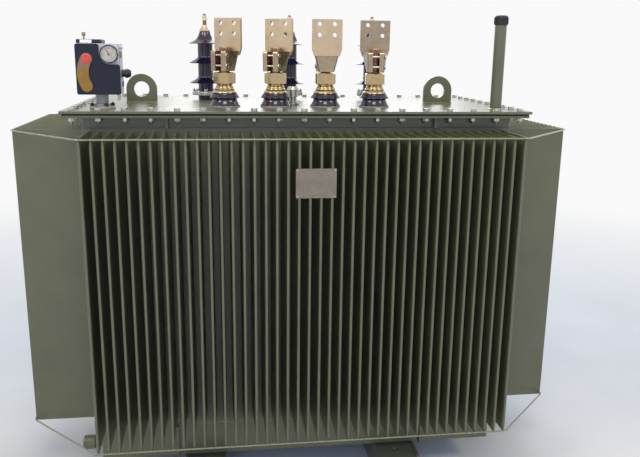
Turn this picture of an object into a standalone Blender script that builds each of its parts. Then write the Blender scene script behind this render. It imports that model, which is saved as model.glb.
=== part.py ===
"""Oil-filled power transformer with a corrugated tank.

Metres, +Z up.  The origin is on the floor under the middle of the tank.  The low-voltage side,
with its flag terminals, faces -Y, and +X is to the right of someone who looks at that side.
"""
import math

import bmesh
import bpy
from mathutils import Matrix, Vector

# Fits that every piece shares
CLEARANCE = 0.0003
CUT_OVERRUN = 0.010
MERGE_DISTANCE = 0.00001
SHARP_ANGLE = math.radians(35.0)

# Corrugated tank walls
FIN_PITCH = 0.040
FRONT_FIN_COUNT = 41
END_FIN_COUNT = 17
FIN_HEIGHT = 1.196
FRONT_FIN_DEPTH = 0.230
END_FIN_DEPTH = 0.272
FIN_THICKNESS = 0.010
FIN_SEAM = 0.003
FIN_PINCH = 0.035
SHEET_GAUGE = 0.0015
SHEET_MARGIN = 0.012
TANK_DEPTH = 0.800

# Plain bands above and below the fins, and the floor of the tank
BAND_PLATE = 0.006
LOWER_BAND_HEIGHT = 0.141
UPPER_BAND_HEIGHT = 0.040
FLOOR_PLATE = 0.008
RIB_FROM_END = 0.305
RIB_WIDTH = 0.010
RIB_REACH = 0.022

# Round bars that tie the fin tips together
ROD_DIAMETER = 0.008
ROD_INSET = 0.004
ROD_ROUND_STEPS = 2

# Bolted joint between tank and cover
COVER_OVERHANG_X = 0.073
COVER_OVERHANG_Y = 0.0545
COVER_THICKNESS = 0.010
COVER_LIP = 0.008
GASKET_THICKNESS = 0.005
GASKET_INSET = 0.001
FLANGE_THICKNESS = 0.010

# Skids
SKID_FROM_END = 0.420
SKID_WIDTH = 0.175
SKID_HEIGHT = 0.120
SKID_RAIL = 0.012
SKID_WEB = 0.010
SKID_WEB_DROP = 0.009
SKID_REACH = 0.120
TOW_HOLE_DIAMETER = 0.028
TOW_HOLE_REACH = 0.041
TOW_HOLE_SIDES = 20

# Lifting lugs
LUG_FROM_END = 0.180
LUG_WIDTH = 0.126
LUG_HEIGHT = 0.118
LUG_THICKNESS = 0.018
LUG_EYE_DIAMETER = 0.063
LUG_ARC_STEPS = 16
LUG_EYE_SIDES = 28

# Low-voltage bushings: porcelain
LV_SPACING = 0.202
LV_SHIFT = 0.006
LV_COUNT = 4
LV_FROM_FRONT = 0.180
LV_SIDES = 20
LV_FOOT_RADIUS = 0.061
LV_FOOT_HEIGHT = 0.006
LV_WAIST_RADIUS = 0.0465
LV_WAIST_HEIGHT = 0.0315
LV_SHED_RADIUS = 0.0585
LV_SHED_HEIGHT = 0.0390
LV_SHED_EDGE = 0.003
LV_TOP_RADIUS = 0.049
LV_PORCELAIN_HEIGHT = 0.0520

# Low-voltage bushings: collar, nut and stud
LV_COLLAR_RADIUS = 0.047
LV_COLLAR_TOP_RADIUS = 0.0435
LV_COLLAR_HEIGHT = 0.013
LV_GROOVE_RADIUS = 0.039
LV_GROOVE_HEIGHT = 0.002
LV_CONE_RADIUS = 0.0405
LV_CONE_TOP_RADIUS = 0.0305
LV_CONE_HEIGHT = 0.022
LV_NUT_RADIUS = 0.044
LV_NUT_HEIGHT = 0.046
LV_NUT_CHAMFER = 0.005
LV_STUD_DIAMETER = 0.042
LV_STUD_SHOW = 0.004
LV_STUD_PROUD = 0.016

# Flag terminals
FLAG_WIDTH = 0.120
FLAG_FOOT_WIDTH = 0.082
FLAG_THICKNESS = 0.012
FLAG_HEIGHT = 0.203
FLAG_LAP = 0.016
FLAG_TAPER_HEIGHT = 0.026
FLAG_CORNER = 0.006
FLAG_HOLE_DIAMETER = 0.016
FLAG_HOLE_PITCH_X = 0.060
FLAG_HOLE_PITCH_Z = 0.041
FLAG_HOLE_DROP = 0.018
FLAG_HOLE_SIDES = 12
FLAG_TURNS = (math.radians(-32.0), math.radians(-32.0), math.radians(180.0), math.radians(-6.0))
CLAMP_WIDTH = 0.068
CLAMP_TOP_WIDTH = 0.079
CLAMP_HEIGHT = 0.077
CLAMP_BACK = 0.033
CLAMP_BACK_ROUND = 0.010
CLAMP_ROUND_STEPS = 3
CLAMP_EAR_REACH = 0.056
CLAMP_EAR_CHAMFER = 0.004
CLAMP_EAR_ROUND = 0.014
CLAMP_SLOT = 0.026
CLAMP_PLATE_OFFSET = 0.026

# High-voltage bushings
HV_SPACING = 0.376
HV_COUNT = 3
HV_FROM_BACK = 0.205
HV_SIDES = 20
HV_TURRET_RADIUS = 0.034
HV_TURRET_HEIGHT = 0.018
HV_RING_RADIUS = 0.048
HV_RING_HEIGHT = 0.018
HV_EAR_COUNT = 4
HV_EAR_REACH = 0.061
HV_EAR_WIDTH = 0.018
HV_EAR_RISE = 0.012
HV_EAR_TIP = 0.008
HV_BODY_RADIUS = 0.033
HV_BODY_TOP = 0.296
HV_NECK_RADIUS = 0.0235
HV_SHED_RADIUS = 0.0715
HV_SHED_TIPS = (0.072, 0.159)
HV_SHED_EDGE = 0.003
HV_SHED_UNDERCUT = 0.003
HV_SHED_RISE = 0.029
HV_TOP_SHED_TIP = 0.243
HV_TOP_SHED_SHARES = ((0.62, 0.13), (0.32, 0.33), (0.12, 0.62))
HV_CAP_RADIUS = 0.0235
HV_CAP_EDGE = 0.006
HV_CAP_CONE = 0.020
HV_NECK_BAR_RADIUS = 0.009
HV_NECK_BAR_HEIGHT = 0.020
HV_NUT_RADIUS = 0.0118
HV_NUT_HEIGHT = 0.0225
HV_TIP_RADIUS = 0.007
HV_TIP_HEIGHT = 0.007

# Protection relay
RELAY_FROM_END = 0.062
RELAY_FROM_FRONT = 0.090
RELAY_NECK_RADIUS = 0.0235
RELAY_NECK_HEIGHT = 0.0535
RELAY_FLANGE_RADIUS = 0.048
RELAY_FLANGE_HEIGHT = 0.009
RELAY_COLLAR_RADIUS = 0.030
RELAY_COLLAR_HEIGHT = 0.010
RELAY_SIDES = 24
HOUSING_WIDTH = 0.153
HOUSING_DEPTH = 0.110
HOUSING_HEIGHT = 0.184
HOUSING_ROUND = 0.008
PANEL_WIDTH = 0.158
PANEL_HEIGHT = 0.183
PANEL_THICKNESS = 0.012
PANEL_HOLLOW = 0.038
PANEL_ROUND = 0.007
PANEL_ROUND_STEPS = 2
PANEL_CORNER_ANGLE = math.radians(60.0)
PANEL_ARC_STEPS = 8
DIAL_RADIUS = 0.033
DIAL_DEPTH = 0.030
DIAL_PLACE_X = 0.122
DIAL_PLACE_Z = 0.147
WINDOW_PLACE_X = 0.032
WINDOW_PLACE_Z = 0.080
WINDOW_TILT = math.radians(-1.5)
WINDOW_WIDTH = 0.042
WINDOW_HEIGHT = 0.141
WINDOW_BOW = 0.0135
WINDOW_PROUD = 0.004
WINDOW_ARC_STEPS = 8
LID_WIDTH = 0.092
LID_DEPTH = 0.090
LID_HEIGHT = 0.0145
LID_ROUND = 0.004
KNOB_RADIUS = 0.007
KNOB_HEIGHT = 0.040
KNOB_INSET = 0.022
GLAND_RADIUS = 0.0175
GLAND_LENGTH = 0.034
GLAND_HEIGHT = 0.076
GLAND_STEP_RADIUS = 0.014
GLAND_STEP_LENGTH = 0.012
GLAND_SIDES = 16

# Filling pipe, tap-changer head, rating plate and drain
PIPE_FROM_END = 0.035
PIPE_FROM_FRONT = 0.063
PIPE_RADIUS = 0.023
PIPE_HEIGHT = 0.329
PIPE_FOOT_RADIUS = 0.028
PIPE_FOOT_HEIGHT = 0.006
PIPE_SIDES = 24
PIPE_CAP_RADIUS = 0.028
PIPE_CAP_HEIGHT = 0.0355
PIPE_CAP_ROUND = 0.008
TAP_FROM_FRONT = 0.285
TAP_FOOT_RADIUS = 0.028
TAP_FOOT_HEIGHT = 0.008
TAP_RING_RADIUS = 0.021
TAP_RING_HEIGHT = 0.006
TAP_STEM_RADIUS = 0.015
TAP_STEM_HEIGHT = 0.019
TAP_BODY_RADIUS = 0.022
TAP_BODY_HEIGHT = 0.0255
TAP_CAP_RADIUS = 0.0245
TAP_CAP_TOP_RADIUS = 0.019
TAP_CAP_HEIGHT = 0.016
TAP_SIDES = 24
PLATE_WIDTH = 0.148
PLATE_HEIGHT = 0.108
PLATE_THICKNESS = 0.002
PLATE_X = 0.020
PLATE_DROP = 0.109
DRAIN_FROM_FRONT = 0.075
DRAIN_DROP = 0.112
DRAIN_PIPE_RADIUS = 0.019
DRAIN_PIPE_LENGTH = 0.038
DRAIN_CAP_RADIUS = 0.029
DRAIN_CAP_LENGTH = 0.050
DRAIN_CAP_CHAMFER = 0.006
DRAIN_SIDES = 20

# Places that follow from the sizes above
TANK_LENGTH = FRONT_FIN_COUNT * FIN_PITCH
HALF_LENGTH = TANK_LENGTH / 2
HALF_DEPTH = TANK_DEPTH / 2
LOWER_BAND_Z = SKID_HEIGHT + CLEARANCE
WALL_Z = LOWER_BAND_Z + LOWER_BAND_HEIGHT + CLEARANCE
WALL_HEIGHT = FIN_HEIGHT + 2 * SHEET_MARGIN
FIN_BOTTOM_Z = WALL_Z + SHEET_MARGIN
FIN_TOP_Z = FIN_BOTTOM_Z + FIN_HEIGHT
UPPER_BAND_Z = WALL_Z + WALL_HEIGHT + CLEARANCE
FLANGE_Z = UPPER_BAND_Z + UPPER_BAND_HEIGHT + CLEARANCE
GASKET_Z = FLANGE_Z + FLANGE_THICKNESS + CLEARANCE
COVER_Z = GASKET_Z + GASKET_THICKNESS + CLEARANCE
SEAT_Z = COVER_Z + COVER_THICKNESS + CLEARANCE
COVER_LENGTH = TANK_LENGTH + 2 * COVER_OVERHANG_X
COVER_DEPTH = TANK_DEPTH + 2 * COVER_OVERHANG_Y
FRONT_TIP_Y = HALF_DEPTH + FRONT_FIN_DEPTH
END_TIP_X = HALF_LENGTH + END_FIN_DEPTH
RIB_PLACE = HALF_LENGTH - RIB_FROM_END
SKID_PLACE = HALF_LENGTH - SKID_FROM_END
LUG_PLACE = HALF_LENGTH - LUG_FROM_END
LV_ROW_Y = LV_FROM_FRONT - HALF_DEPTH
HV_ROW_Y = HALF_DEPTH - HV_FROM_BACK
RELAY_X = RELAY_FROM_END - HALF_LENGTH
RELAY_Y = RELAY_FROM_FRONT - HALF_DEPTH
RELAY_SEAT_Z = SEAT_Z + RELAY_NECK_HEIGHT + CLEARANCE
PIPE_X = HALF_LENGTH - PIPE_FROM_END
PIPE_Y = PIPE_FROM_FRONT - HALF_DEPTH
TAP_X = -0.015
TAP_Y = TAP_FROM_FRONT - HALF_DEPTH
DRAIN_Y = DRAIN_FROM_FRONT - HALF_DEPTH


def clear_scene():
    for obj in list(bpy.data.objects):
        bpy.data.objects.remove(obj, do_unlink=True)


def linear(channel):
    if channel <= 0.04045:
        return channel / 12.92
    return ((channel + 0.055) / 1.055) ** 2.4


def make_material(name, hex_colour, roughness, metallic):
    material = bpy.data.materials.new(name)
    material.use_nodes = True
    shader = material.node_tree.nodes["Principled BSDF"]
    channels = [linear(int(hex_colour[i:i + 2], 16) / 255) for i in (0, 2, 4)]
    shader.inputs["Base Color"].default_value = (*channels, 1.0)
    shader.inputs["Roughness"].default_value = roughness
    shader.inputs["Metallic"].default_value = metallic
    return material


def make_object(name, bm, material, place=(0.0, 0.0, 0.0), turn=0.0, smooth=False):
    """Closes a bmesh off as a scene object, placed by its location and its turn about Z."""
    bmesh.ops.remove_doubles(bm, verts=bm.verts[:], dist=MERGE_DISTANCE)
    bmesh.ops.recalc_face_normals(bm, faces=bm.faces[:])
    mesh = bpy.data.meshes.new(name)
    bm.to_mesh(mesh)
    bm.free()
    if material is not None:
        mesh.materials.append(material)
    if smooth:
        mesh.shade_smooth()
        mesh.set_sharp_from_angle(angle=SHARP_ANGLE)
    obj = bpy.data.objects.new(name, mesh)
    obj.location = place
    obj.rotation_euler = (0.0, 0.0, turn)
    bpy.context.collection.objects.link(obj)
    return obj


def combine(target, name, bm, operation):
    """Joins or cuts a helper shape, built in the target's own frame, with a live Boolean."""
    helper = make_object(name, bm, None)
    helper.parent = target
    helper.hide_render = True
    helper.display_type = "WIRE"
    modifier = target.modifiers.new(name, "BOOLEAN")
    modifier.operation = operation
    modifier.solver = "EXACT"
    modifier.object = helper


def cut(target, name, bm):
    combine(target, name, bm, "DIFFERENCE")


def fuse(target, name, bm):
    combine(target, name, bm, "UNION")


def box(low, high):
    """A block between two opposite corners."""
    low, high = Vector(low), Vector(high)
    bm = bmesh.new()
    place = Matrix.Translation((low + high) / 2) @ Matrix.Diagonal((*(high - low), 1.0))
    bmesh.ops.create_cube(bm, size=1.0, matrix=place)
    return bm


def prism(outline, depth):
    """An outline in XY, given a depth along +Z."""
    bm = bmesh.new()
    face = bm.faces.new([bm.verts.new((x, y, 0.0)) for x, y in outline])
    lifted = bmesh.ops.extrude_face_region(bm, geom=[face])["geom"]
    corners = [item for item in lifted if isinstance(item, bmesh.types.BMVert)]
    bmesh.ops.translate(bm, verts=corners, vec=(0.0, 0.0, depth))
    return bm


def standing(outline, depth):
    """An outline in XZ, given a depth along +Y from Y = 0."""
    bm = prism(outline, depth)
    bmesh.ops.rotate(bm, verts=bm.verts[:], matrix=Matrix.Rotation(math.pi / 2, 3, "X"))
    bmesh.ops.translate(bm, verts=bm.verts[:], vec=(0.0, depth, 0.0))
    return bm


def arc(centre, radius, start, end, steps):
    """Points of an arc in a plane, both ends included."""
    angles = [start + (end - start) * step / steps for step in range(steps + 1)]
    return [(centre[0] + radius * math.cos(a), centre[1] + radius * math.sin(a)) for a in angles]


def circle(centre, radius, sides):
    return arc(centre, radius, 0.0, math.tau * (sides - 1) / sides, sides - 1)


def turned(profile, sides):
    """A profile of (radius, height) pairs, run from axis to axis and spun about Z."""
    bm = bmesh.new()
    verts = [bm.verts.new((radius, 0.0, height)) for radius, height in profile]
    edges = [bm.edges.new(pair) for pair in zip(verts, verts[1:])]
    bmesh.ops.spin(bm, geom=verts + edges, axis=(0.0, 0.0, 1.0), cent=(0.0, 0.0, 0.0),
                   angle=math.tau, steps=sides, use_merge=True)
    return bm


def raised(profile, base):
    """The same profile, lifted by a base height."""
    return [(radius, height + base) for radius, height in profile]


def steps_up(rings):
    """A stepped turning, as (lower radius, upper radius, height) for each stage from the foot up."""
    profile = [(0.0, 0.0)]
    level = 0.0
    for lower, upper, height in rings:
        profile += [(lower, level), (upper, level + height)]
        level += height
    return profile + [(0.0, level)]


# Corrugated walls

def folded_sheet(bm, wall_width, fin_count, fin_depth, inset, rows):
    """One skin of a folded wall in its own frame: X along the wall, -Y out, Z up from its foot.

    Each row is a height and half a fin's width there.  The fins run from the second row to the
    last but one, and the skin lies inset behind the outer face of the wall.
    """
    first = -(fin_count - 1) * FIN_PITCH / 2
    columns = [[bm.verts.new((-wall_width / 2, inset, z)) for z, half in rows]]
    for index in range(fin_count):
        centre = first + index * FIN_PITCH
        for side in (-1, 1):
            columns.append([bm.verts.new((centre + side * half, inset, z)) for z, half in rows])
    columns.append([bm.verts.new((wall_width / 2, inset, z)) for z, half in rows])
    mouths = []
    for column, (left, right) in enumerate(zip(columns, columns[1:])):
        for row in range(len(rows) - 1):
            face = bm.faces.new((left[row], right[row], right[row + 1], left[row + 1]))
            if column % 2 == 1 and 0 < row < len(rows) - 2:
                mouths.append(face)
    lifted = bmesh.ops.extrude_face_region(bm, geom=mouths)["geom"]
    tips = [item for item in lifted if isinstance(item, bmesh.types.BMVert)]
    bmesh.ops.translate(bm, verts=tips, vec=(0.0, -fin_depth, 0.0))
    bmesh.ops.delete(bm, geom=mouths, context="FACES")


def outer_rows():
    """Rows of the outer skin, whose fins are pinched to a welded seam at both ends."""
    seam, full = FIN_SEAM / 2, FIN_THICKNESS / 2
    top = SHEET_MARGIN + FIN_HEIGHT
    return [(0.0, seam), (SHEET_MARGIN, seam), (SHEET_MARGIN + FIN_PINCH, full),
            (top - FIN_PINCH, full), (top, seam), (WALL_HEIGHT, seam)]


def inner_rows():
    """Rows of the inner skin, whose pockets stop where the pinched ends begin."""
    half = FIN_THICKNESS / 2 - SHEET_GAUGE
    low = SHEET_MARGIN + FIN_PINCH
    return [(0.0, half), (low, half), (WALL_HEIGHT - low, half), (WALL_HEIGHT, half)]


def corrugated_wall(name, wall_width, fin_count, fin_depth, place, turn, material):
    """Two folded skins, a sheet gauge apart, joined round their rim."""
    bm = bmesh.new()
    folded_sheet(bm, wall_width, fin_count, fin_depth, 0.0, outer_rows())
    folded_sheet(bm, wall_width, fin_count, fin_depth, SHEET_GAUGE, inner_rows())
    rims = [edge for edge in bm.edges if edge.is_boundary]
    bmesh.ops.bridge_loops(bm, edges=rims)
    return make_object(name, bm, material, place, turn)


def make_walls(paint):
    end_width = TANK_DEPTH - 2 * (SHEET_GAUGE + CLEARANCE)
    corrugated_wall("tank_front_wall", TANK_LENGTH, FRONT_FIN_COUNT, FRONT_FIN_DEPTH,
                    (0.0, -HALF_DEPTH, WALL_Z), 0.0, paint)
    corrugated_wall("tank_back_wall", TANK_LENGTH, FRONT_FIN_COUNT, FRONT_FIN_DEPTH,
                    (0.0, HALF_DEPTH, WALL_Z), math.pi, paint)
    corrugated_wall("tank_right_wall", end_width, END_FIN_COUNT, END_FIN_DEPTH,
                    (HALF_LENGTH, 0.0, WALL_Z), math.pi / 2, paint)
    corrugated_wall("tank_left_wall", end_width, END_FIN_COUNT, END_FIN_DEPTH,
                    (-HALF_LENGTH, 0.0, WALL_Z), -math.pi / 2, paint)


# Bands, floor, flange, gasket and cover

def ribbed_outline():
    """Tank outline seen from above, with two ribs on the front and two on the back."""
    half = []
    for side in (-1, 1):
        rib = side * RIB_PLACE
        half += [(rib - RIB_WIDTH / 2, -HALF_DEPTH), (rib - RIB_WIDTH / 2, -HALF_DEPTH - RIB_REACH),
                 (rib + RIB_WIDTH / 2, -HALF_DEPTH - RIB_REACH), (rib + RIB_WIDTH / 2, -HALF_DEPTH)]
    front = [(-HALF_LENGTH, -HALF_DEPTH)] + half + [(HALF_LENGTH, -HALF_DEPTH)]
    return front + [(-x, -y) for x, y in front]


def frame_hole(half_x, half_y, height):
    return box((-half_x, -half_y, -CUT_OVERRUN), (half_x, half_y, height + CUT_OVERRUN))


def make_band(name, height, base, paint):
    band = make_object(name, prism(ribbed_outline(), height), paint, (0.0, 0.0, base))
    inner = frame_hole(HALF_LENGTH - BAND_PLATE, HALF_DEPTH - BAND_PLATE, height)
    cut(band, name + "_inside", inner)


def make_frame(name, half_x, half_y, thickness, base, material):
    """A flat ring plate whose inner edge lines up with the inside of the bands."""
    low, high = (-half_x, -half_y, 0.0), (half_x, half_y, thickness)
    ring = make_object(name, box(low, high), material, (0.0, 0.0, base))
    inner = frame_hole(HALF_LENGTH - BAND_PLATE, HALF_DEPTH - BAND_PLATE, thickness)
    cut(ring, name + "_inside", inner)


def make_tank_top(paint, rubber):
    half_x, half_y = COVER_LENGTH / 2, COVER_DEPTH / 2
    make_frame("top_flange", half_x - COVER_LIP, half_y - COVER_LIP, FLANGE_THICKNESS, FLANGE_Z, paint)
    rim = COVER_LIP + GASKET_INSET
    make_frame("cover_gasket", half_x - rim, half_y - rim, GASKET_THICKNESS, GASKET_Z, rubber)
    plate = box((-half_x, -half_y, 0.0), (half_x, half_y, COVER_THICKNESS))
    make_object("cover", plate, paint, (0.0, 0.0, COVER_Z))


def make_floor(paint):
    half_x = HALF_LENGTH - BAND_PLATE - CLEARANCE
    half_y = HALF_DEPTH - BAND_PLATE - CLEARANCE
    plate = box((-half_x, -half_y, 0.0), (half_x, half_y, FLOOR_PLATE))
    make_object("tank_floor", plate, paint, (0.0, 0.0, LOWER_BAND_Z))


# Round bars along the fin tips

def make_rod(name, height, paint):
    """A closed ring of round bar that crosses each corner from the last front fin to the first end fin."""
    radius = ROD_DIAMETER / 2
    reach_x = END_TIP_X + CLEARANCE + radius
    reach_y = FRONT_TIP_Y + CLEARANCE + radius
    past_fin = FIN_THICKNESS / 2 + radius
    last_front = (FRONT_FIN_COUNT - 1) * FIN_PITCH / 2 + past_fin
    last_end = (END_FIN_COUNT - 1) * FIN_PITCH / 2 + past_fin
    quarter = [(last_front, -reach_y), (reach_x, -last_end)]
    right = quarter + [(x, -y) for x, y in reversed(quarter)]
    corners = right + [(-x, -y) for x, y in right]
    curve = bpy.data.curves.new(name, "CURVE")
    curve.dimensions = "3D"
    curve.bevel_depth = radius
    curve.bevel_resolution = ROD_ROUND_STEPS
    curve.use_fill_caps = True
    spline = curve.splines.new("POLY")
    spline.points.add(len(corners) - 1)
    for point, (x, y) in zip(spline.points, corners):
        point.co = (x, y, 0.0, 1.0)
    spline.use_cyclic_u = True
    curve.materials.append(paint)
    rod = bpy.data.objects.new(name, curve)
    rod.location = (0.0, 0.0, height)
    bpy.context.collection.objects.link(rod)


# Skids and lifting lugs

def make_skid(name, place_x, paint):
    """An upturned channel with rails that stand a little above its web."""
    side, inner = SKID_WIDTH / 2, SKID_WIDTH / 2 - SKID_RAIL
    web_top = SKID_HEIGHT - SKID_WEB_DROP
    web_low = web_top - SKID_WEB
    section = [(-side, 0.0), (-inner, 0.0), (-inner, web_low), (inner, web_low), (inner, 0.0),
               (side, 0.0), (side, SKID_HEIGHT), (inner, SKID_HEIGHT), (inner, web_top),
               (-inner, web_top), (-inner, SKID_HEIGHT), (-side, SKID_HEIGHT)]
    half = HALF_DEPTH + SKID_REACH
    skid = make_object(name, standing(section, 2 * half), paint, (place_x, -half, 0.0))
    for end, along in (("front", SKID_REACH - TOW_HOLE_REACH),
                       ("back", 2 * half - SKID_REACH + TOW_HOLE_REACH)):
        hole = prism(circle((0.0, along), TOW_HOLE_DIAMETER / 2, TOW_HOLE_SIDES), SKID_HEIGHT)
        cut(skid, name + "_tow_hole_" + end, hole)


def make_lug(name, place_x, paint):
    """A round-topped plate with an eye, welded to the cover."""
    half, rise = LUG_WIDTH / 2, LUG_HEIGHT - LUG_WIDTH / 2
    outline = [(-half, 0.0), (half, 0.0)] + arc((0.0, rise), half, 0.0, math.pi, LUG_ARC_STEPS)
    place = (place_x, -LUG_THICKNESS / 2, SEAT_Z)
    lug = make_object(name, standing(outline, LUG_THICKNESS), paint, place)
    eye = standing(circle((0.0, rise), LUG_EYE_DIAMETER / 2, LUG_EYE_SIDES),
                   LUG_THICKNESS + 2 * CUT_OVERRUN)
    bmesh.ops.translate(eye, verts=eye.verts[:], vec=(0.0, -CUT_OVERRUN, 0.0))
    cut(lug, name + "_eye", eye)


# Low-voltage bushings

def lv_places():
    first = LV_SHIFT - (LV_COUNT - 1) * LV_SPACING / 2
    return [first + index * LV_SPACING for index in range(LV_COUNT)]


def make_lv_insulator(name, place, glaze):
    """A squat glazed bell: flared foot, waist, and one wide shed that carries the collar."""
    profile = [(0.0, 0.0),
               (LV_FOOT_RADIUS, 0.0),
               (LV_FOOT_RADIUS, LV_FOOT_HEIGHT),
               ((LV_FOOT_RADIUS + LV_WAIST_RADIUS) / 2, (LV_FOOT_HEIGHT + LV_WAIST_HEIGHT) / 3),
               (LV_WAIST_RADIUS, LV_WAIST_HEIGHT),
               (LV_SHED_RADIUS, LV_SHED_HEIGHT - LV_SHED_EDGE),
               (LV_SHED_RADIUS, LV_SHED_HEIGHT),
               (LV_TOP_RADIUS, LV_PORCELAIN_HEIGHT),
               (0.0, LV_PORCELAIN_HEIGHT)]
    make_object(name, turned(profile, LV_SIDES), glaze, place, smooth=True)


def make_lv_stem(name, place, turn, brass):
    """Stepped collar and threaded stud in one turning, with the hexagon nut fused on."""
    collar = [(LV_COLLAR_RADIUS, LV_COLLAR_TOP_RADIUS, LV_COLLAR_HEIGHT),
              (LV_GROOVE_RADIUS, LV_GROOVE_RADIUS, LV_GROOVE_HEIGHT),
              (LV_CONE_RADIUS, LV_CONE_TOP_RADIUS, LV_CONE_HEIGHT)]
    nut_foot = LV_COLLAR_HEIGHT + LV_GROOVE_HEIGHT + LV_CONE_HEIGHT
    stud_length = LV_NUT_HEIGHT + LV_STUD_SHOW + CLAMP_HEIGHT + LV_STUD_PROUD
    stud = (LV_STUD_DIAMETER / 2, LV_STUD_DIAMETER / 2, stud_length)
    stem = make_object(name, turned(steps_up(collar + [stud]), LV_SIDES), brass, place, turn, True)
    chamfered = LV_NUT_RADIUS - LV_NUT_CHAMFER
    barrel = LV_NUT_HEIGHT - 2 * LV_NUT_CHAMFER
    nut = [(chamfered, LV_NUT_RADIUS, LV_NUT_CHAMFER),
           (LV_NUT_RADIUS, LV_NUT_RADIUS, barrel),
           (LV_NUT_RADIUS, chamfered, LV_NUT_CHAMFER)]
    fuse(stem, name + "_nut", turned(raised(steps_up(nut), nut_foot), 6))


def flag_outline():
    """Flag plate from the front: a wide palm that tapers to the width of the clamp at its foot."""
    palm, foot = FLAG_WIDTH / 2, FLAG_FOOT_WIDTH / 2
    low = CLAMP_HEIGHT - FLAG_LAP
    right = [(foot, low), (palm, low + FLAG_TAPER_HEIGHT), (palm, FLAG_HEIGHT - FLAG_CORNER),
             (palm - FLAG_CORNER, FLAG_HEIGHT)]
    return right + [(-x, z) for x, z in reversed(right)]


def clamp_block():
    """Body of the split clamp: flat back, two ears towards -Y, and sides that open upwards."""
    side, round_x = CLAMP_WIDTH / 2, CLAMP_WIDTH / 2 - CLAMP_BACK_ROUND
    right = [(side - CLAMP_EAR_CHAMFER, -CLAMP_EAR_REACH), (side, -CLAMP_EAR_REACH + CLAMP_EAR_CHAMFER)]
    right += arc((round_x, CLAMP_BACK - CLAMP_BACK_ROUND), CLAMP_BACK_ROUND, 0.0, math.pi / 2,
                 CLAMP_ROUND_STEPS)
    bm = prism(right + [(-x, y) for x, y in reversed(right)], CLAMP_HEIGHT)
    top = [vert for vert in bm.verts if vert.co.z > CLAMP_HEIGHT / 2]
    bmesh.ops.scale(bm, verts=top, vec=(CLAMP_TOP_WIDTH / CLAMP_WIDTH, 1.0, 1.0))
    lip = [edge for edge in bm.edges
           if all(vert in top and vert.co.y < MERGE_DISTANCE - CLAMP_EAR_REACH for vert in edge.verts)]
    bmesh.ops.bevel(bm, geom=lip, offset=CLAMP_EAR_ROUND, segments=CLAMP_ROUND_STEPS, profile=0.5,
                    affect="EDGES")
    bmesh.ops.triangulate(bm, faces=bm.faces[:])
    return bm


def keyhole_outline():
    """Bore for the stud with the slot that lets the clamp close."""
    bore, half_slot = LV_STUD_DIAMETER / 2 + CLEARANCE, CLAMP_SLOT / 2
    start = -math.acos(half_slot / bore)
    hole = arc((0.0, 0.0), bore, start, math.pi - start, LV_SIDES)
    out = -CLAMP_EAR_REACH - CUT_OVERRUN
    return hole + [(-half_slot, out), (half_slot, out)]


def make_lv_flag(name, place, turn, brass):
    """Flag terminal: a drilled palm that stands behind a split clamp."""
    plate = standing(flag_outline(), FLAG_THICKNESS)
    bmesh.ops.translate(plate, verts=plate.verts[:], vec=(0.0, CLAMP_PLATE_OFFSET, 0.0))
    flag = make_object(name, plate, brass, place, turn)
    fuse(flag, name + "_clamp", clamp_block())
    bore = prism(keyhole_outline(), CLAMP_HEIGHT + 2 * CUT_OVERRUN)
    bmesh.ops.translate(bore, verts=bore.verts[:], vec=(0.0, 0.0, -CUT_OVERRUN))
    cut(flag, name + "_bore", bore)
    for column in (-1, 1):
        for row in (0, 1):
            centre = (column * FLAG_HOLE_PITCH_X / 2,
                      FLAG_HEIGHT - FLAG_HOLE_DROP - row * FLAG_HOLE_PITCH_Z)
            drill = standing(circle(centre, FLAG_HOLE_DIAMETER / 2, FLAG_HOLE_SIDES),
                             FLAG_THICKNESS + 2 * CUT_OVERRUN)
            bmesh.ops.translate(drill, verts=drill.verts[:],
                                vec=(0.0, CLAMP_PLATE_OFFSET - CUT_OVERRUN, 0.0))
            cut(flag, "%s_hole_%d_%d" % (name, column, row), drill)


def make_lv_bushings(glaze, brass, pale_brass):
    collar_z = SEAT_Z + LV_PORCELAIN_HEIGHT + CLEARANCE
    nut_top = LV_COLLAR_HEIGHT + LV_GROOVE_HEIGHT + LV_CONE_HEIGHT + LV_NUT_HEIGHT
    for number, (place_x, turn) in enumerate(zip(lv_places(), FLAG_TURNS), start=1):
        make_lv_insulator("lv_insulator_%d" % number, (place_x, LV_ROW_Y, SEAT_Z), glaze)
        make_lv_stem("lv_stem_%d" % number, (place_x, LV_ROW_Y, collar_z), turn, brass)
        flag_z = collar_z + nut_top + LV_STUD_SHOW
        make_lv_flag("lv_flag_%d" % number, (place_x, LV_ROW_Y, flag_z), turn, pale_brass)


# High-voltage bushings

def hv_places():
    first = -(HV_COUNT - 1) * HV_SPACING / 2
    return [first + index * HV_SPACING for index in range(HV_COUNT)]


def hv_insulator_profile():
    """Long glazed body: two short conical sheds, and a tall hollow-sided one under the cap."""
    foot = HV_TURRET_HEIGHT + HV_RING_HEIGHT + CLEARANCE
    profile = [(0.0, foot), (HV_BODY_RADIUS, foot)]
    for tip in HV_SHED_TIPS:
        profile += [(HV_BODY_RADIUS, tip + HV_SHED_UNDERCUT),
                    (HV_SHED_RADIUS, tip),
                    (HV_SHED_RADIUS, tip + HV_SHED_EDGE),
                    (HV_BODY_RADIUS, tip + HV_SHED_RISE)]
    profile += [(HV_BODY_RADIUS, HV_TOP_SHED_TIP + HV_SHED_UNDERCUT), (HV_SHED_RADIUS, HV_TOP_SHED_TIP)]
    edge = HV_TOP_SHED_TIP + HV_SHED_EDGE
    spread, rise = HV_SHED_RADIUS - HV_NECK_RADIUS, HV_BODY_TOP - edge
    profile.append((HV_SHED_RADIUS, edge))
    profile += [(HV_NECK_RADIUS + out * spread, edge + up * rise) for out, up in HV_TOP_SHED_SHARES]
    return profile + [(HV_NECK_RADIUS, HV_BODY_TOP), (0.0, HV_BODY_TOP)]


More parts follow.
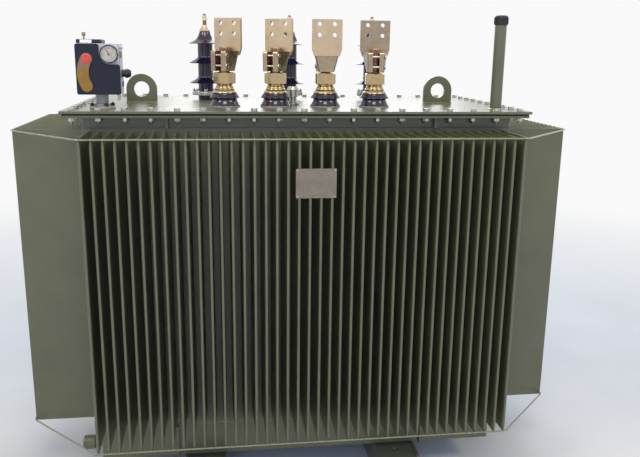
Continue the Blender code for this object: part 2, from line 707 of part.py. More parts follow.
def hv_ear(turn):
    """One clamp of the base ring, with a sloped finger that holds the foot of the porcelain."""
    inner = HV_BODY_RADIUS + CLEARANCE
    ring_top = HV_TURRET_HEIGHT + HV_RING_HEIGHT
    outline = [(inner, HV_TURRET_HEIGHT), (HV_EAR_REACH, HV_TURRET_HEIGHT), (HV_EAR_REACH, ring_top),
               (inner + HV_EAR_TIP, ring_top + HV_EAR_RISE), (inner, ring_top + HV_EAR_RISE)]
    bm = standing(outline, HV_EAR_WIDTH)
    bmesh.ops.translate(bm, verts=bm.verts[:], vec=(0.0, -HV_EAR_WIDTH / 2, 0.0))
    bmesh.ops.rotate(bm, verts=bm.verts[:], matrix=Matrix.Rotation(turn, 3, "Z"))
    return bm


def make_hv_bushings(glaze, brass, aluminium):
    base = [(HV_TURRET_RADIUS, HV_TURRET_RADIUS, HV_TURRET_HEIGHT),
            (HV_RING_RADIUS, HV_RING_RADIUS, HV_RING_HEIGHT)]
    terminal = [(HV_CAP_RADIUS, HV_CAP_RADIUS, HV_CAP_EDGE),
                (HV_CAP_RADIUS, HV_NECK_BAR_RADIUS, HV_CAP_CONE),
                (HV_NECK_BAR_RADIUS, HV_NECK_BAR_RADIUS, HV_NECK_BAR_HEIGHT),
                (HV_NUT_RADIUS, HV_NUT_RADIUS, HV_NUT_HEIGHT),
                (HV_TIP_RADIUS, HV_TIP_RADIUS, HV_TIP_HEIGHT)]
    for number, place_x in enumerate(hv_places(), start=1):
        place = (place_x, HV_ROW_Y, SEAT_Z)
        top = (place_x, HV_ROW_Y, SEAT_Z + HV_BODY_TOP + CLEARANCE)
        name = "hv_base_%d" % number
        ring = make_object(name, turned(steps_up(base), HV_SIDES), aluminium, place, smooth=True)
        for ear in range(HV_EAR_COUNT):
            fuse(ring, "%s_ear_%d" % (name, ear + 1), hv_ear(math.tau * ear / HV_EAR_COUNT))
        make_object("hv_insulator_%d" % number, turned(hv_insulator_profile(), HV_SIDES), glaze,
                    place, smooth=True)
        make_object("hv_terminal_%d" % number, turned(steps_up(terminal), HV_SIDES), brass, top,
                    smooth=True)


# Protection relay

def rounded_box(low, high, radius):
    """A block with its four upright corners rounded off."""
    bm = box(low, high)
    upright = [edge for edge in bm.edges
               if abs(edge.verts[0].co.z - edge.verts[1].co.z) > MERGE_DISTANCE]
    bmesh.ops.bevel(bm, geom=upright, offset=radius, segments=3, profile=0.5, affect="EDGES")
    return bm


def panel_outline():
    """Front panel: tall on the left, low on the right, hollowed round the dial."""
    dial = (DIAL_PLACE_X, DIAL_PLACE_Z)
    hollow = arc(dial, PANEL_HOLLOW, 3 * math.pi / 2, math.pi, PANEL_ARC_STEPS)
    return [(0.0, 0.0), (PANEL_WIDTH, 0.0), (PANEL_WIDTH, DIAL_PLACE_Z - PANEL_HOLLOW)] + hollow + \
        [(DIAL_PLACE_X - PANEL_HOLLOW, PANEL_HEIGHT), (0.0, PANEL_HEIGHT)]


def window_outline():
    """A bowed slot with round ends, bent towards the left like a level gauge."""
    half = WINDOW_WIDTH / 2
    chord = WINDOW_HEIGHT / 2 - half
    radius = (chord ** 2 + WINDOW_BOW ** 2) / (2 * WINDOW_BOW)
    swing = math.asin(chord / radius)
    centre = (WINDOW_PLACE_X + radius - WINDOW_BOW / 2, WINDOW_PLACE_Z)
    outer = arc(centre, radius + half, math.pi - swing, math.pi + swing, WINDOW_ARC_STEPS)
    low = (centre[0] - radius * math.cos(swing), centre[1] - radius * math.sin(swing))
    high = (low[0], centre[1] + radius * math.sin(swing))
    inner = arc(centre, radius - half, math.pi + swing, math.pi - swing, WINDOW_ARC_STEPS)
    foot = arc(low, half, math.pi + swing, math.tau + swing, WINDOW_ARC_STEPS)
    head = arc(high, half, -swing, math.pi - swing, WINDOW_ARC_STEPS)
    tilt, middle = Matrix.Rotation(WINDOW_TILT, 2), Vector((WINDOW_PLACE_X, WINDOW_PLACE_Z))
    points = outer + foot[1:-1] + inner + head[1:-1]
    return [tuple(tilt @ (Vector(point) - middle) + middle) for point in points]


def panel_plate():
    """The front panel with its square corners rounded off."""
    bm = standing(panel_outline(), PANEL_THICKNESS)
    corners = [edge for edge in bm.edges
               if abs(edge.verts[0].co.y - edge.verts[1].co.y) > MERGE_DISTANCE
               and edge.calc_face_angle() > PANEL_CORNER_ANGLE]
    bmesh.ops.bevel(bm, geom=corners, offset=PANEL_ROUND, segments=PANEL_ROUND_STEPS, profile=0.5,
                    affect="EDGES")
    return bm


def make_relay(paint, black, amber, grey):
    neck = [(RELAY_FLANGE_RADIUS, RELAY_FLANGE_RADIUS, RELAY_FLANGE_HEIGHT),
            (RELAY_COLLAR_RADIUS, RELAY_COLLAR_RADIUS, RELAY_COLLAR_HEIGHT),
            (RELAY_NECK_RADIUS, RELAY_NECK_RADIUS,
             RELAY_NECK_HEIGHT - RELAY_FLANGE_HEIGHT - RELAY_COLLAR_HEIGHT)]
    make_object("relay_neck", turned(steps_up(neck), RELAY_SIDES), grey,
                (RELAY_X, RELAY_Y, SEAT_Z), smooth=True)
    half_x, half_y = HOUSING_WIDTH / 2, HOUSING_DEPTH / 2
    housing = rounded_box((-half_x, -half_y, 0.0), (half_x, half_y, HOUSING_HEIGHT), HOUSING_ROUND)
    make_object("relay_housing", housing, paint, (RELAY_X, RELAY_Y, RELAY_SEAT_Z), smooth=True)
    front_y = RELAY_Y - half_y - CLEARANCE
    corner = (RELAY_X - PANEL_WIDTH / 2, front_y - PANEL_THICKNESS, RELAY_SEAT_Z)
    make_object("relay_panel", panel_plate(), black, corner)
    window_y = corner[1] - CLEARANCE - WINDOW_PROUD
    make_object("relay_window", standing(window_outline(), WINDOW_PROUD), amber,
                (corner[0], window_y, RELAY_SEAT_Z))
    dial = turned(steps_up([(DIAL_RADIUS, DIAL_RADIUS, DIAL_DEPTH)]), RELAY_SIDES)
    bmesh.ops.rotate(dial, verts=dial.verts[:], matrix=Matrix.Rotation(math.pi / 2, 3, "X"))
    make_object("relay_dial", dial, black,
                (corner[0] + DIAL_PLACE_X, front_y, RELAY_SEAT_Z + DIAL_PLACE_Z), smooth=True)
    make_relay_fittings(black)


def make_relay_fittings(black):
    lid_z = RELAY_SEAT_Z + HOUSING_HEIGHT + CLEARANCE
    lid_x = RELAY_X - HOUSING_WIDTH / 2 + LID_WIDTH / 2
    half_x, half_y = LID_WIDTH / 2, LID_DEPTH / 2
    lid = make_object("relay_lid", rounded_box((-half_x, -half_y, 0.0), (half_x, half_y, LID_HEIGHT),
                                               LID_ROUND), black, (lid_x, RELAY_Y, lid_z), smooth=True)
    knob = turned(steps_up([(KNOB_RADIUS, KNOB_RADIUS, KNOB_HEIGHT)]), GLAND_SIDES)
    bmesh.ops.translate(knob, verts=knob.verts[:], vec=(KNOB_INSET - half_x, 0.0, 0.0))
    fuse(lid, "relay_lid_knob", knob)
    gland = turned(steps_up([(GLAND_STEP_RADIUS, GLAND_STEP_RADIUS, GLAND_STEP_LENGTH),
                             (GLAND_RADIUS, GLAND_RADIUS, GLAND_LENGTH - GLAND_STEP_LENGTH)]),
                   GLAND_SIDES)
    bmesh.ops.rotate(gland, verts=gland.verts[:], matrix=Matrix.Rotation(math.pi / 2, 3, "Y"))
    make_object("relay_gland", gland, black,
                (RELAY_X + HOUSING_WIDTH / 2 + CLEARANCE, RELAY_Y, RELAY_SEAT_Z + GLAND_HEIGHT),
                smooth=True)


# Small fittings

def make_fill_pipe(paint, black):
    pipe = [(PIPE_FOOT_RADIUS, PIPE_FOOT_RADIUS, PIPE_FOOT_HEIGHT),
            (PIPE_RADIUS, PIPE_RADIUS, PIPE_HEIGHT - PIPE_FOOT_HEIGHT)]
    make_object("fill_pipe", turned(steps_up(pipe), PIPE_SIDES), paint, (PIPE_X, PIPE_Y, SEAT_Z),
                smooth=True)
    cap = [(PIPE_CAP_RADIUS, PIPE_CAP_RADIUS, PIPE_CAP_HEIGHT - PIPE_CAP_ROUND),
           (PIPE_CAP_RADIUS, PIPE_CAP_RADIUS - PIPE_CAP_ROUND, PIPE_CAP_ROUND)]
    make_object("fill_cap", turned(steps_up(cap), PIPE_SIDES), black,
                (PIPE_X, PIPE_Y, SEAT_Z + PIPE_HEIGHT + CLEARANCE), smooth=True)


def make_tap_changer_head(silver):
    head = [(TAP_FOOT_RADIUS, TAP_FOOT_RADIUS, TAP_FOOT_HEIGHT),
            (TAP_RING_RADIUS, TAP_RING_RADIUS, TAP_RING_HEIGHT),
            (TAP_STEM_RADIUS, TAP_STEM_RADIUS, TAP_STEM_HEIGHT),
            (TAP_BODY_RADIUS, TAP_BODY_RADIUS, TAP_BODY_HEIGHT),
            (TAP_CAP_RADIUS, TAP_CAP_TOP_RADIUS, TAP_CAP_HEIGHT)]
    make_object("tap_changer_head", turned(steps_up(head), TAP_SIDES), silver, (TAP_X, TAP_Y, SEAT_Z),
                smooth=True)


def make_rating_plate(aluminium):
    half = PLATE_WIDTH / 2
    front = -FRONT_TIP_Y - CLEARANCE - PLATE_THICKNESS
    plate = box((-half, 0.0, -PLATE_HEIGHT), (half, PLATE_THICKNESS, 0.0))
    make_object("rating_plate", plate, aluminium, (PLATE_X, front, FIN_TOP_Z - PLATE_DROP))


def make_drain(paint):
    valve = [(DRAIN_PIPE_RADIUS, DRAIN_PIPE_RADIUS, DRAIN_PIPE_LENGTH),
             (DRAIN_CAP_RADIUS, DRAIN_CAP_RADIUS, DRAIN_CAP_LENGTH - DRAIN_CAP_CHAMFER),
             (DRAIN_CAP_RADIUS, DRAIN_CAP_RADIUS - DRAIN_CAP_CHAMFER, DRAIN_CAP_CHAMFER)]
    bm = turned(steps_up(valve), DRAIN_SIDES)
    bmesh.ops.rotate(bm, verts=bm.verts[:], matrix=Matrix.Rotation(-math.pi / 2, 3, "Y"))
    make_object("drain_valve", bm, paint,
                (-HALF_LENGTH - CLEARANCE, DRAIN_Y, FIN_BOTTOM_Z - DRAIN_DROP), smooth=True)


def main():
    clear_scene()
    paint = make_material("olive_enamel", "6B6C5C", 0.30, 0.0)
    rubber = make_material("black_rubber", "1A1B1E", 0.80, 0.0)
    glaze = make_material("aubergine_glaze", "2E2430", 0.12, 0.0)
    brass = make_material("polished_brass", "B8914F", 0.28, 1.0)
    pale_brass = make_material("cast_brass", "CDBBA0", 0.42, 1.0)
    aluminium = make_material("bare_aluminium", "B9BBB8", 0.40, 1.0)
    silver = make_material("cast_aluminium", "A6A9A6", 0.45, 1.0)
    black = make_material("black_plastic", "1E1E26", 0.45, 0.0)
    amber = make_material("amber_window", "8A6A1E", 0.20, 0.0)
    light_grey = make_material("light_grey_plastic", "C9CBCB", 0.45, 0.0)
    grey = make_material("grey_cast_metal", "8E8E98", 0.40, 0.6)

    make_skid("skid_left", -SKID_PLACE, paint)
    make_skid("skid_right", SKID_PLACE, paint)
    make_band("lower_band", LOWER_BAND_HEIGHT, LOWER_BAND_Z, paint)
    make_floor(paint)
    make_walls(paint)
    make_band("upper_band", UPPER_BAND_HEIGHT, UPPER_BAND_Z, paint)
    make_rod("lower_fin_rod", FIN_BOTTOM_Z + ROD_INSET, paint)
    make_rod("upper_fin_rod", FIN_TOP_Z - ROD_INSET, paint)
    make_tank_top(paint, rubber)
    make_lug("lifting_lug_left", -LUG_PLACE, paint)
    make_lug("lifting_lug_right", LUG_PLACE, paint)
    make_lv_bushings(glaze, brass, pale_brass)
    make_hv_bushings(glaze, brass, aluminium)
    make_relay(light_grey, black, amber, grey)
    make_fill_pipe(paint, black)
    make_tap_changer_head(silver)
    make_rating_plate(aluminium)
    make_drain(paint)


main()
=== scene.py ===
"""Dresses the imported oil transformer: fins, cover joint, bushings, relay, fittings and finishes."""
import math
from typing import NamedTuple

import bmesh
import bpy
from bpy.props import FloatProperty, FloatVectorProperty, IntProperty, PointerProperty
from bpy.types import Operator, Panel, PropertyGroup
from mathutils import Matrix, Vector


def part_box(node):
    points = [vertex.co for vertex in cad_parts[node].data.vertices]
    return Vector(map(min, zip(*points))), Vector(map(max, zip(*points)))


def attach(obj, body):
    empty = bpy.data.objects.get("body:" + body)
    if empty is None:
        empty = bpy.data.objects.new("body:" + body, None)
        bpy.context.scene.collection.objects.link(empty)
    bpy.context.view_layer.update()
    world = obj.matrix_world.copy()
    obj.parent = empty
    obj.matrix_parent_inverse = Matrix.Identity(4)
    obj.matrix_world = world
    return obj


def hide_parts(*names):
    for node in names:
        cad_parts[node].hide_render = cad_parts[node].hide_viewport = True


bl_info = {
    "name": "Oil Transformer Dressing",
    "version": (1, 0, 0),
    "blender": (4, 5, 0),
    "location": "View3D > Sidebar > Transformer",
    "description": "Builds the visible pieces of an oil-filled transformer round its packed frame",
    "category": "Object",
}

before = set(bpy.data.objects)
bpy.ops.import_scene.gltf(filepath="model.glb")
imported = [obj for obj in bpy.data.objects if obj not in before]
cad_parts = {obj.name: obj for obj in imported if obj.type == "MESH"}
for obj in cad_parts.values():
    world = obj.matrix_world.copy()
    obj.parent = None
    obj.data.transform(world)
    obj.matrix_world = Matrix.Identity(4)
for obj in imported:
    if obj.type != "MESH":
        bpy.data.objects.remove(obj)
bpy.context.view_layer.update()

MM = 0.001
QUARTER = math.pi / 2
SHARP = math.radians(32.0)                      # edges that turn by more are rounded or kept sharp
FACING = Matrix.Rotation(QUARTER, 4, "X")       # lays an upright shape towards the front
SIDEWAYS = Matrix.Rotation(QUARTER, 4, "Y")     # lays an upright shape towards the right
FLAG_TURNS = tuple(math.radians(angle) for angle in (-32.0, -32.0, 180.0, -6.0))
WHITE = (1.0, 1.0, 1.0, 1.0)
SURROUND = 0.95                                 # brightness of the white that the eye sees
WAVE_PITCH = 0.314                              # metres from wave to wave at a scale of 1


# Colours and nodes

def linear(hex_colour):
    """An sRGB hex colour as linear red, green and blue."""
    channels = [int(hex_colour[i:i + 2], 16) / 255 for i in (0, 2, 4)]
    return tuple(c / 12.92 if c <= 0.04045 else ((c + 0.055) / 1.055) ** 2.4 for c in channels)


def two_tones(tones):
    """Two opaque tones, from hex colours or from a colour setting and the factors that shade it."""
    if len(tones) == 2:
        return [(*linear(tone), 1.0) for tone in tones]
    colour = getattr(bpy.context.scene.transformer_colours, tones[0])
    return [(*(min(1.0, channel * factor) for channel in colour), 1.0) for factor in tones[1:]]


def add_node(tree, kind, inputs=None, **settings):
    """Adds a node, sets it up and fills its inputs: a socket is linked, a value is stored."""
    node = tree.nodes.new("ShaderNode" + kind)
    for name, value in settings.items():
        setattr(node, name, value)
    for name, value in (inputs or {}).items():
        if isinstance(value, bpy.types.NodeSocket):
            tree.links.new(value, node.inputs[name])
        else:
            node.inputs[name].default_value = value
    return node


def span(tree, value, low, high, start=0.0, end=1.0, **settings):
    """What a value gives between a start and an end, as it rises from low to high."""
    return add_node(tree, "MapRange", {"Value": value, "From Min": low, "From Max": high,
                                       "To Min": start, "To Max": end}, **settings).outputs[0]


def blend(tree, factor, first, second):
    """A colour between two others."""
    return add_node(tree, "Mix", {0: factor, 6: first, 7: second}, data_type="RGBA").outputs[2]


def height_of(tree, vector):
    """The upright part of a vector."""
    return add_node(tree, "SeparateXYZ", {"Vector": vector}).outputs["Z"]


def white_rays(tree):
    """1 for the rays of the eye and those that mirrors and glass send on, 0 for light."""
    path = add_node(tree, "LightPath").outputs
    seen = path["Is Camera Ray"]
    for ray in ("Is Glossy Ray", "Is Transmission Ray"):
        seen = add_node(tree, "Math", {0: seen, 1: path[ray]}, operation="MAXIMUM").outputs[0]
    return seen


# Finishes

class Recipe(NamedTuple):
    """What a finish is made of, its sizes in mm."""
    tones: tuple            # its two near tones, as two_tones takes them
    cloud: float            # size of the clouds in which they drift
    gloss: tuple            # span of its roughness
    relief: tuple           # grain and height of its bump, or pitch and depth of its rings
    sockets: dict = {}      # values of the shader that are the same all over
    more: object = None     # function that adds the nodes which only this finish has
    rings: bool = False     # turned on a lathe


def settle_dust(tree, shader, point, tone):
    """A little dust on what faces up."""
    up = height_of(tree, add_node(tree, "NewGeometry").outputs["Normal"])
    dust = (*bpy.context.scene.transformer_colours.dust, 1.0)
    dusty = blend(tree, span(tree, up, 0.75, 1.0, end=0.22), tone, dust)
    tree.links.new(dusty, shader.inputs["Base Color"])


def fill_with_oil(tree, shader, point, tone):
    """Amber up to the oil's level in the relay's window, grey-brown above it."""
    low, high = [corner[2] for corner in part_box("relay_window")]
    level = span(tree, height_of(tree, point), low + 0.54 * (high - low), low + 0.74 * (high - low))
    filled = blend(tree, level, tone, (*linear("7A6656"), 1.0))
    tree.links.new(filled, shader.inputs["Base Color"])


def fade_to_white(tree, shader, point, tone):
    """The floor turns into the white surround far away, for the eye and for mirrors."""
    away = add_node(tree, "VectorMath", {0: point}, operation="LENGTH").outputs["Value"]
    far = span(tree, away, 1.6, 6.5, interpolation_type="SMOOTHSTEP")
    seen = add_node(tree, "Math", {0: far, 1: white_rays(tree)}, operation="MULTIPLY").outputs[0]
    white = add_node(tree, "Emission", {"Color": WHITE, "Strength": SURROUND}).outputs[0]
    both = add_node(tree, "MixShader", {0: seen, 1: shader.outputs[0], 2: white}).outputs[0]
    tree.links.new(both, tree.nodes["Material Output"].inputs["Surface"])


def coat(weight, roughness):
    """A clear coat."""
    return {"Coat Weight": weight, "Coat Roughness": roughness}


METAL = {"Metallic": 1.0}

RECIPES = {
    # Air-dried enamel on sheet steel: a soft orange peel, and a little dust on what faces up
    "olive_enamel": Recipe(("enamel", 0.93, 1.07), 160.0, (0.30, 0.42), (4.0, 0.05),
                           coat(0.35, 0.12), settle_dust),
    # The same enamel, flowed out flat on the cover, where it mirrors what stands on it
    "cover_enamel": Recipe(("enamel", 0.98, 1.12), 220.0, (0.24, 0.34), (14.0, 0.05),
                           coat(0.35, 0.16)),
    # Enamel over weld beads and the fin rods, toned 1.5 to 2.2 times lighter than the enamel as
    # painted highlight where they catch the light; the ripples of the weld catch the light every few
    # millimetres
    "weld_enamel": Recipe(("enamel", 1.5, 2.2), 12.0, (0.2, 0.32), (5.0, 0.8), coat(1.0, 0.06)),
    # Nitrile rubber, cut from sheet: dead matt, with a faint grain; the same black is painted shade
    # in the flag bolts' sockets and painted shadow under the low-voltage caps
    "black_rubber": Recipe(("17181B", "222327"), 25.0, (0.75, 0.88), (1.2, 0.06)),
    # Porcelain under a dark aubergine glaze: wet gloss, lighter where the glaze ran thin
    "aubergine_glaze": Recipe(("glaze", 0.7, 1.4), 22.0, (0.05, 0.1), (18.0, 0.12),
                              {"Specular IOR Level": 0.6}),
    # Machined and polished brass: warm, almost a mirror, with faint tool rings
    "polished_brass": Recipe(("brass", 0.92, 1.1), 30.0, (0.12, 0.22), (1.6, 0.02), METAL,
                             rings=True),
    # Brass nuts, pale and pinkish: brass lightened to near white, partly painted highlight, with
    # faint tool rings
    "pale_nut_brass": Recipe(("DCCBBB", "EDDFD2"), 12.0, (0.16, 0.28), (1.2, 0.015), METAL,
                             rings=True),
    # Cast brass, milled and blasted: pale and satin, with a fine even grain
    "cast_brass": Recipe(("pale_brass", 0.94, 1.06), 40.0, (0.34, 0.46), (1.4, 0.035), METAL),
    # Brass as the cutter left it: olive-gold and brighter than the palm, with a fine grain
    "milled_brass": Recipe(("milled", 0.9, 1.12), 26.0, (0.2, 0.32), (1.6, 0.03), METAL),
    # Cast brass in painted shade: a darker, browner and greyer copy of the cast brass for the fourth
    # flag's palm, which catches less light; the relay lid's knob takes it too
    "shaded_cast_brass": Recipe(("shaded_brass", 0.92, 1.08), 40.0, (0.36, 0.48), (1.4, 0.035), METAL),
    # Rolled copper thread: red, satin, with fine rings
    "stud_copper": Recipe(("copper", 0.85, 1.15), 14.0, (0.34, 0.48), (1.2, 0.02), METAL,
                          rings=True),
    # Bright zinc plating on steel bolts: silver-white, with a faint cloudy passivation
    "zinc_plate": Recipe(("AEB2B4", "CDCECB"), 9.0, (0.28, 0.42), (1.0, 0.02), METAL),
    # Anodised aluminium sheet: champagne-coloured and satin
    "beige_anodised_plate": Recipe(("7C7467", "888072"), 30.0, (0.42, 0.55), (0.8, 0.01),
                                   {"Metallic": 0.6}),
    # Lines etched into the plate and filled: thin and grey-brown
    "plate_etching": Recipe(("6F675D", "7C7368"), 6.0, (0.5, 0.6), (0.8, 0.01)),
    # Sand-cast aluminium: light grey, with a pebbled skin
    "dull_cast_aluminium": Recipe(("B7BAB9", "CCCDC9"), 18.0, (0.3, 0.42), (2.2, 0.08), METAL),
    # Moulded glass-filled nylon: black with a blue cast, and a low even sheen; the same black is
    # painted shade in the relay's side slots
    "moulded_black_nylon": Recipe(("16161D", "21212A"), 30.0, (0.34, 0.46), (0.9, 0.02)),
    # Painted cover plate, left bare: blue-black, with a low sheen
    "navy_panel": Recipe(("panel", 0.85, 1.2), 30.0, (0.36, 0.48), (0.9, 0.02),
                         {"Specular IOR Level": 0.35}),
    # Polycarbonate over a chamber of oil: deep amber, grey-brown above the oil, with a hard gloss
    "amber_polycarbonate": Recipe(("amber", 0.9, 1.1), 28.0, (0.12, 0.2), (30.0, 0.1),
                                  coat(0.3, 0.03), fill_with_oil),
    # Moulded polystyrene float: bright red, wet with oil
    "red_float": Recipe(("B93222", "D2442C"), 8.0, (0.25, 0.35), (3.0, 0.05), coat(0.6, 0.08)),
    # Card behind glass: warm silver-beige
    "dial_card": Recipe(("9D978A", "B9B3A5"), 10.0, (0.35, 0.5), (6.0, 0.04), coat(1.0, 0.04)),
    # Screen-printed ink: dull black
    "dial_ink": Recipe(("24211F", "302C29"), 5.0, (0.5, 0.6), (0.8, 0.01)),
    # Moulded ABS: light cool grey, satin
    "light_grey_abs": Recipe(("BFC2C4", "CED0D1"), 45.0, (0.36, 0.46), (1.1, 0.02)),
    # Grey paint on a casting: warm light grey, softly pebbled
    "grey_cast_paint": Recipe(("9A968E", "ACA89F"), 16.0, (0.3, 0.42), (2.4, 0.1),
                              coat(0.3, 0.15)),
    # Pressed fibre ring under a porcelain foot: pale grey and dry
    "grey_fibre": Recipe(("8F8C84", "A5A299"), 9.0, (0.6, 0.75), (0.9, 0.05)),
    # Coated paper, left blank: white, with a slight gloss
    "bare_label": Recipe(("F0F0EE", "F7F7F5"), 20.0, (0.4, 0.5), (1.5, 0.01)),
    # Sealed screed: pale grey, very slightly clouded
    "pale_floor": Recipe(("DEDEDC", "E6E6E4"), 900.0, (0.6, 0.75), (8.0, 0.05),
                         more=fade_to_white),
}


def finish(name):
    """The material of that name, made the first time it is asked for."""
    return bpy.data.materials.get(name) or make_finish(name, RECIPES[name])


def make_finish(name, recipe):
    """A material with its nodes, from its recipe."""
    material = bpy.data.materials.new(name)
    material.use_nodes = True
    tree = material.node_tree
    shader = tree.nodes["Principled BSDF"]
    for socket, value in recipe.sockets.items():
        shader.inputs[socket].default_value = value
    point = add_node(tree, "TexCoord").outputs["Object"]
    cloud = add_node(tree, "TexNoise", {"Vector": point, "Scale": 1 / (recipe.cloud * MM),
                                        "Detail": 3.0, "Roughness": 0.6}).outputs["Fac"]
    tone = blend(tree, span(tree, cloud, 0.35, 0.65), *two_tones(recipe.tones))
    size, height = recipe.relief
    if recipe.rings:
        rise = add_node(tree, "TexWave", {"Vector": point, "Scale": WAVE_PITCH / (size * MM),
                                          "Distortion": 1.5, "Detail": 2.0}, bands_direction="Z")
    else:
        rise = add_node(tree, "TexNoise", {"Vector": point, "Scale": 1 / (size * MM),
                                           "Detail": 2.0})
    bump = add_node(tree, "Bump", {"Height": rise.outputs["Fac"], "Distance": height * MM})
    for socket, output in (("Base Color", tone), ("Normal", bump.outputs[0]),
                           ("Roughness", span(tree, cloud, 0.3, 0.7, *recipe.gloss))):
        tree.links.new(output, shader.inputs[socket])
    if recipe.more:
        recipe.more(tree, shader, point, tone)
    return material


# Shapes

def mm(*points, out=0.0, up=0.0):
    """(radius, height) pairs in mm, counted from a radius and a height in metres."""
    return [(out + radius * MM, up + height * MM) for radius, height in points]


def merge(bm, gap=0.00001):
    """Joins points that lie within a gap."""
    bmesh.ops.remove_doubles(bm, verts=bm.verts[:], dist=gap)


def face_out(bm):
    """Turns all faces outwards."""
    bmesh.ops.recalc_face_normals(bm, faces=bm.faces[:])
    return bm


def only(kind, items):
    """The items of one kind."""
    return [item for item in items if isinstance(item, kind)]


def block(low, high):
    """A block between two opposite corners."""
    bm = bmesh.new()
    low, high = Vector(low), Vector(high)
    bmesh.ops.create_cube(bm, size=1.0,
                          matrix=Matrix.LocRotScale((low + high) / 2, None, high - low))
    return bm


def disc_prism(radius, sides, height):
    """An upright prism with a regular foot, standing on Z = 0."""
    bm = bmesh.new()
    bmesh.ops.create_circle(bm, cap_ends=True, radius=radius, segments=sides)
    lifted = bmesh.ops.extrude_face_region(bm, geom=bm.faces[:])["geom"]
    bmesh.ops.translate(bm, verts=only(bmesh.types.BMVert, lifted), vec=(0.0, 0.0, height))
    return face_out(bm)


def lathe(profile, steps):
    """A profile of (radius, height) pairs, closed to the upright at its ends and spun about it."""
    profile = [(0.0, profile[0][1])] + profile
    if profile[-1][0] > 0.0:
        profile.append((0.0, profile[-1][1]))
    bm = bmesh.new()
    verts = [bm.verts.new((radius, 0.0, height)) for radius, height in profile]
    edges = [bm.edges.new(pair) for pair in zip(verts, verts[1:])]
    bmesh.ops.spin(bm, geom=verts + edges, axis=(0.0, 0.0, 1.0), cent=(0.0, 0.0, 0.0),
                   angle=math.tau, steps=steps, use_merge=True)
    merge(bm, 0.000001)
    return face_out(bm)


def flow(points, steps=4):
    """A smooth line of (radius, height) pairs through the given ones."""
    ends = [points[0]] + list(points) + [points[-1]]
    line = []
    for before, start, end, after in zip(ends, ends[1:], ends[2:], ends[3:]):
        for step in range(steps):
            t = step / steps
            line.append(tuple(0.5 * (2 * b + (c - a) * t + (2 * a - 5 * b + 4 * c - d) * t ** 2
                                     + (3 * b - a - 3 * c + d) * t ** 3)
                              for a, b, c, d in zip(before, start, end, after)))
    return line + [tuple(points[-1])]


def soften(bm, width, segments=2):
    """Rounds the sharp edges."""
    edges = [edge for edge in bm.edges
             if len(edge.link_faces) == 2 and edge.calc_face_angle() > SHARP]
    bmesh.ops.bevel(bm, geom=edges, offset=width, segments=segments, profile=0.5, affect="EDGES",
                    material=-1, clamp_overlap=True)
    return bm


def to_mesh(bm, name):
    """A mesh of what a bmesh holds."""
    mesh = bpy.data.meshes.new(name)
    bm.to_mesh(mesh)
    return mesh


def place_object(name, data):
    """A new object in the scene."""
    obj = bpy.data.objects.new(name, data)
    bpy.context.collection.objects.link(obj)
    return obj


def add(bm, part, matrix=Matrix(), slot=0):
    """Adds a part to a piece, moved by a matrix and given a material slot of the piece."""
    copy = part.copy()
    copy.transform(matrix)
    for face in copy.faces:
        face.material_index = slot
    mesh = to_mesh(copy, "part")
    bm.from_mesh(mesh)
    bpy.data.meshes.remove(mesh)


def add_round(bm, part, count, place):
    """Adds a part a number of times, evenly round the upright of a place."""
    for index in range(count):
        add(bm, part, place @ at(turn=index * math.tau / count))


def at(x=0.0, y=0.0, z=0.0, turn=0.0):
    """A place, with a turn about the upright."""
    return Matrix.Translation((x, y, z)) @ Matrix.Rotation(turn, 4, "Z")


def common(body, tool):
    """What two closed shapes have in common."""
    made = [place_object("carving", to_mesh(bm, "carving")) for bm in (body, tool)]
    modifier = made[0].modifiers.new("carve", "BOOLEAN")
    modifier.operation = "INTERSECT"
    modifier.solver = "EXACT"
    modifier.object = made[1]
    result = bmesh.new()
    result.from_object(made[0], bpy.context.evaluated_depsgraph_get())
    for obj in made:
        bpy.data.meshes.remove(obj.data)
    merge(result)
    return result


def tube(points, radius, closed=False, sides=2):
    """A round bar along a line of points."""
    curve = bpy.data.curves.new("bar", "CURVE")
    curve.dimensions = "3D"
    curve.bevel_depth = radius
    curve.bevel_resolution = sides
    curve.use_fill_caps = True
    spline = curve.splines.new("POLY")
    spline.points.add(len(points) - 1)
    for item, point in zip(spline.points, points):
        item.co = (*point, 1.0)
    spline.use_cyclic_u = closed
    obj = place_object("bar", curve)
    mesh = bpy.data.meshes.new_from_object(
        obj.evaluated_get(bpy.context.evaluated_depsgraph_get()))
    bm = bmesh.new()
    bm.from_mesh(mesh)
    bpy.data.objects.remove(obj)
    bpy.data.curves.remove(curve)
    bpy.data.meshes.remove(mesh)
    merge(bm, 0.000001)
    return face_out(bm)


def rounded_ring(corners, reach, steps=4):
    """A closed line through corners, each rounded off over a reach."""
    line = []
    points = [Vector(corner) for corner in corners]
    for before, corner, after in zip(points[-1:] + points, points, points[1:] + points[:1]):
        start = corner + (before - corner).normalized() * reach
        end = corner + (after - corner).normalized() * reach
        for step in range(steps + 1):
            t = step / steps
            line.append(start * (1 - t) ** 2 + corner * 2 * t * (1 - t) + end * t ** 2)
    return line


def hexagon(across, height, chamfer):
    """A hexagon head or nut, as wide across its flats, with its corners turned off at both ends."""
    bm = disc_prism(across / math.sqrt(3.0), 6, height)
    bmesh.ops.bevel(bm, geom=bm.verts[:], offset=chamfer, segments=1, profile=0.5,
                    affect="VERTICES", material=-1)
    return bm


def threaded(radius, length, pitch, steps=16):
    """A threaded bar, drawn as a groove for each turn, with a chamfer at its top."""
    root = radius - pitch * 0.55
    profile = []
    turns = max(2, int(length / pitch) - 1)
    for turn in range(turns):
        profile += [(root, turn * pitch), (radius, (turn + 0.5) * pitch)]
    profile += [(root, turns * pitch), ((radius + root) / 2, length - pitch),
                (radius - pitch, length)]
    return lathe(profile, steps)


# CAD nodes and pieces

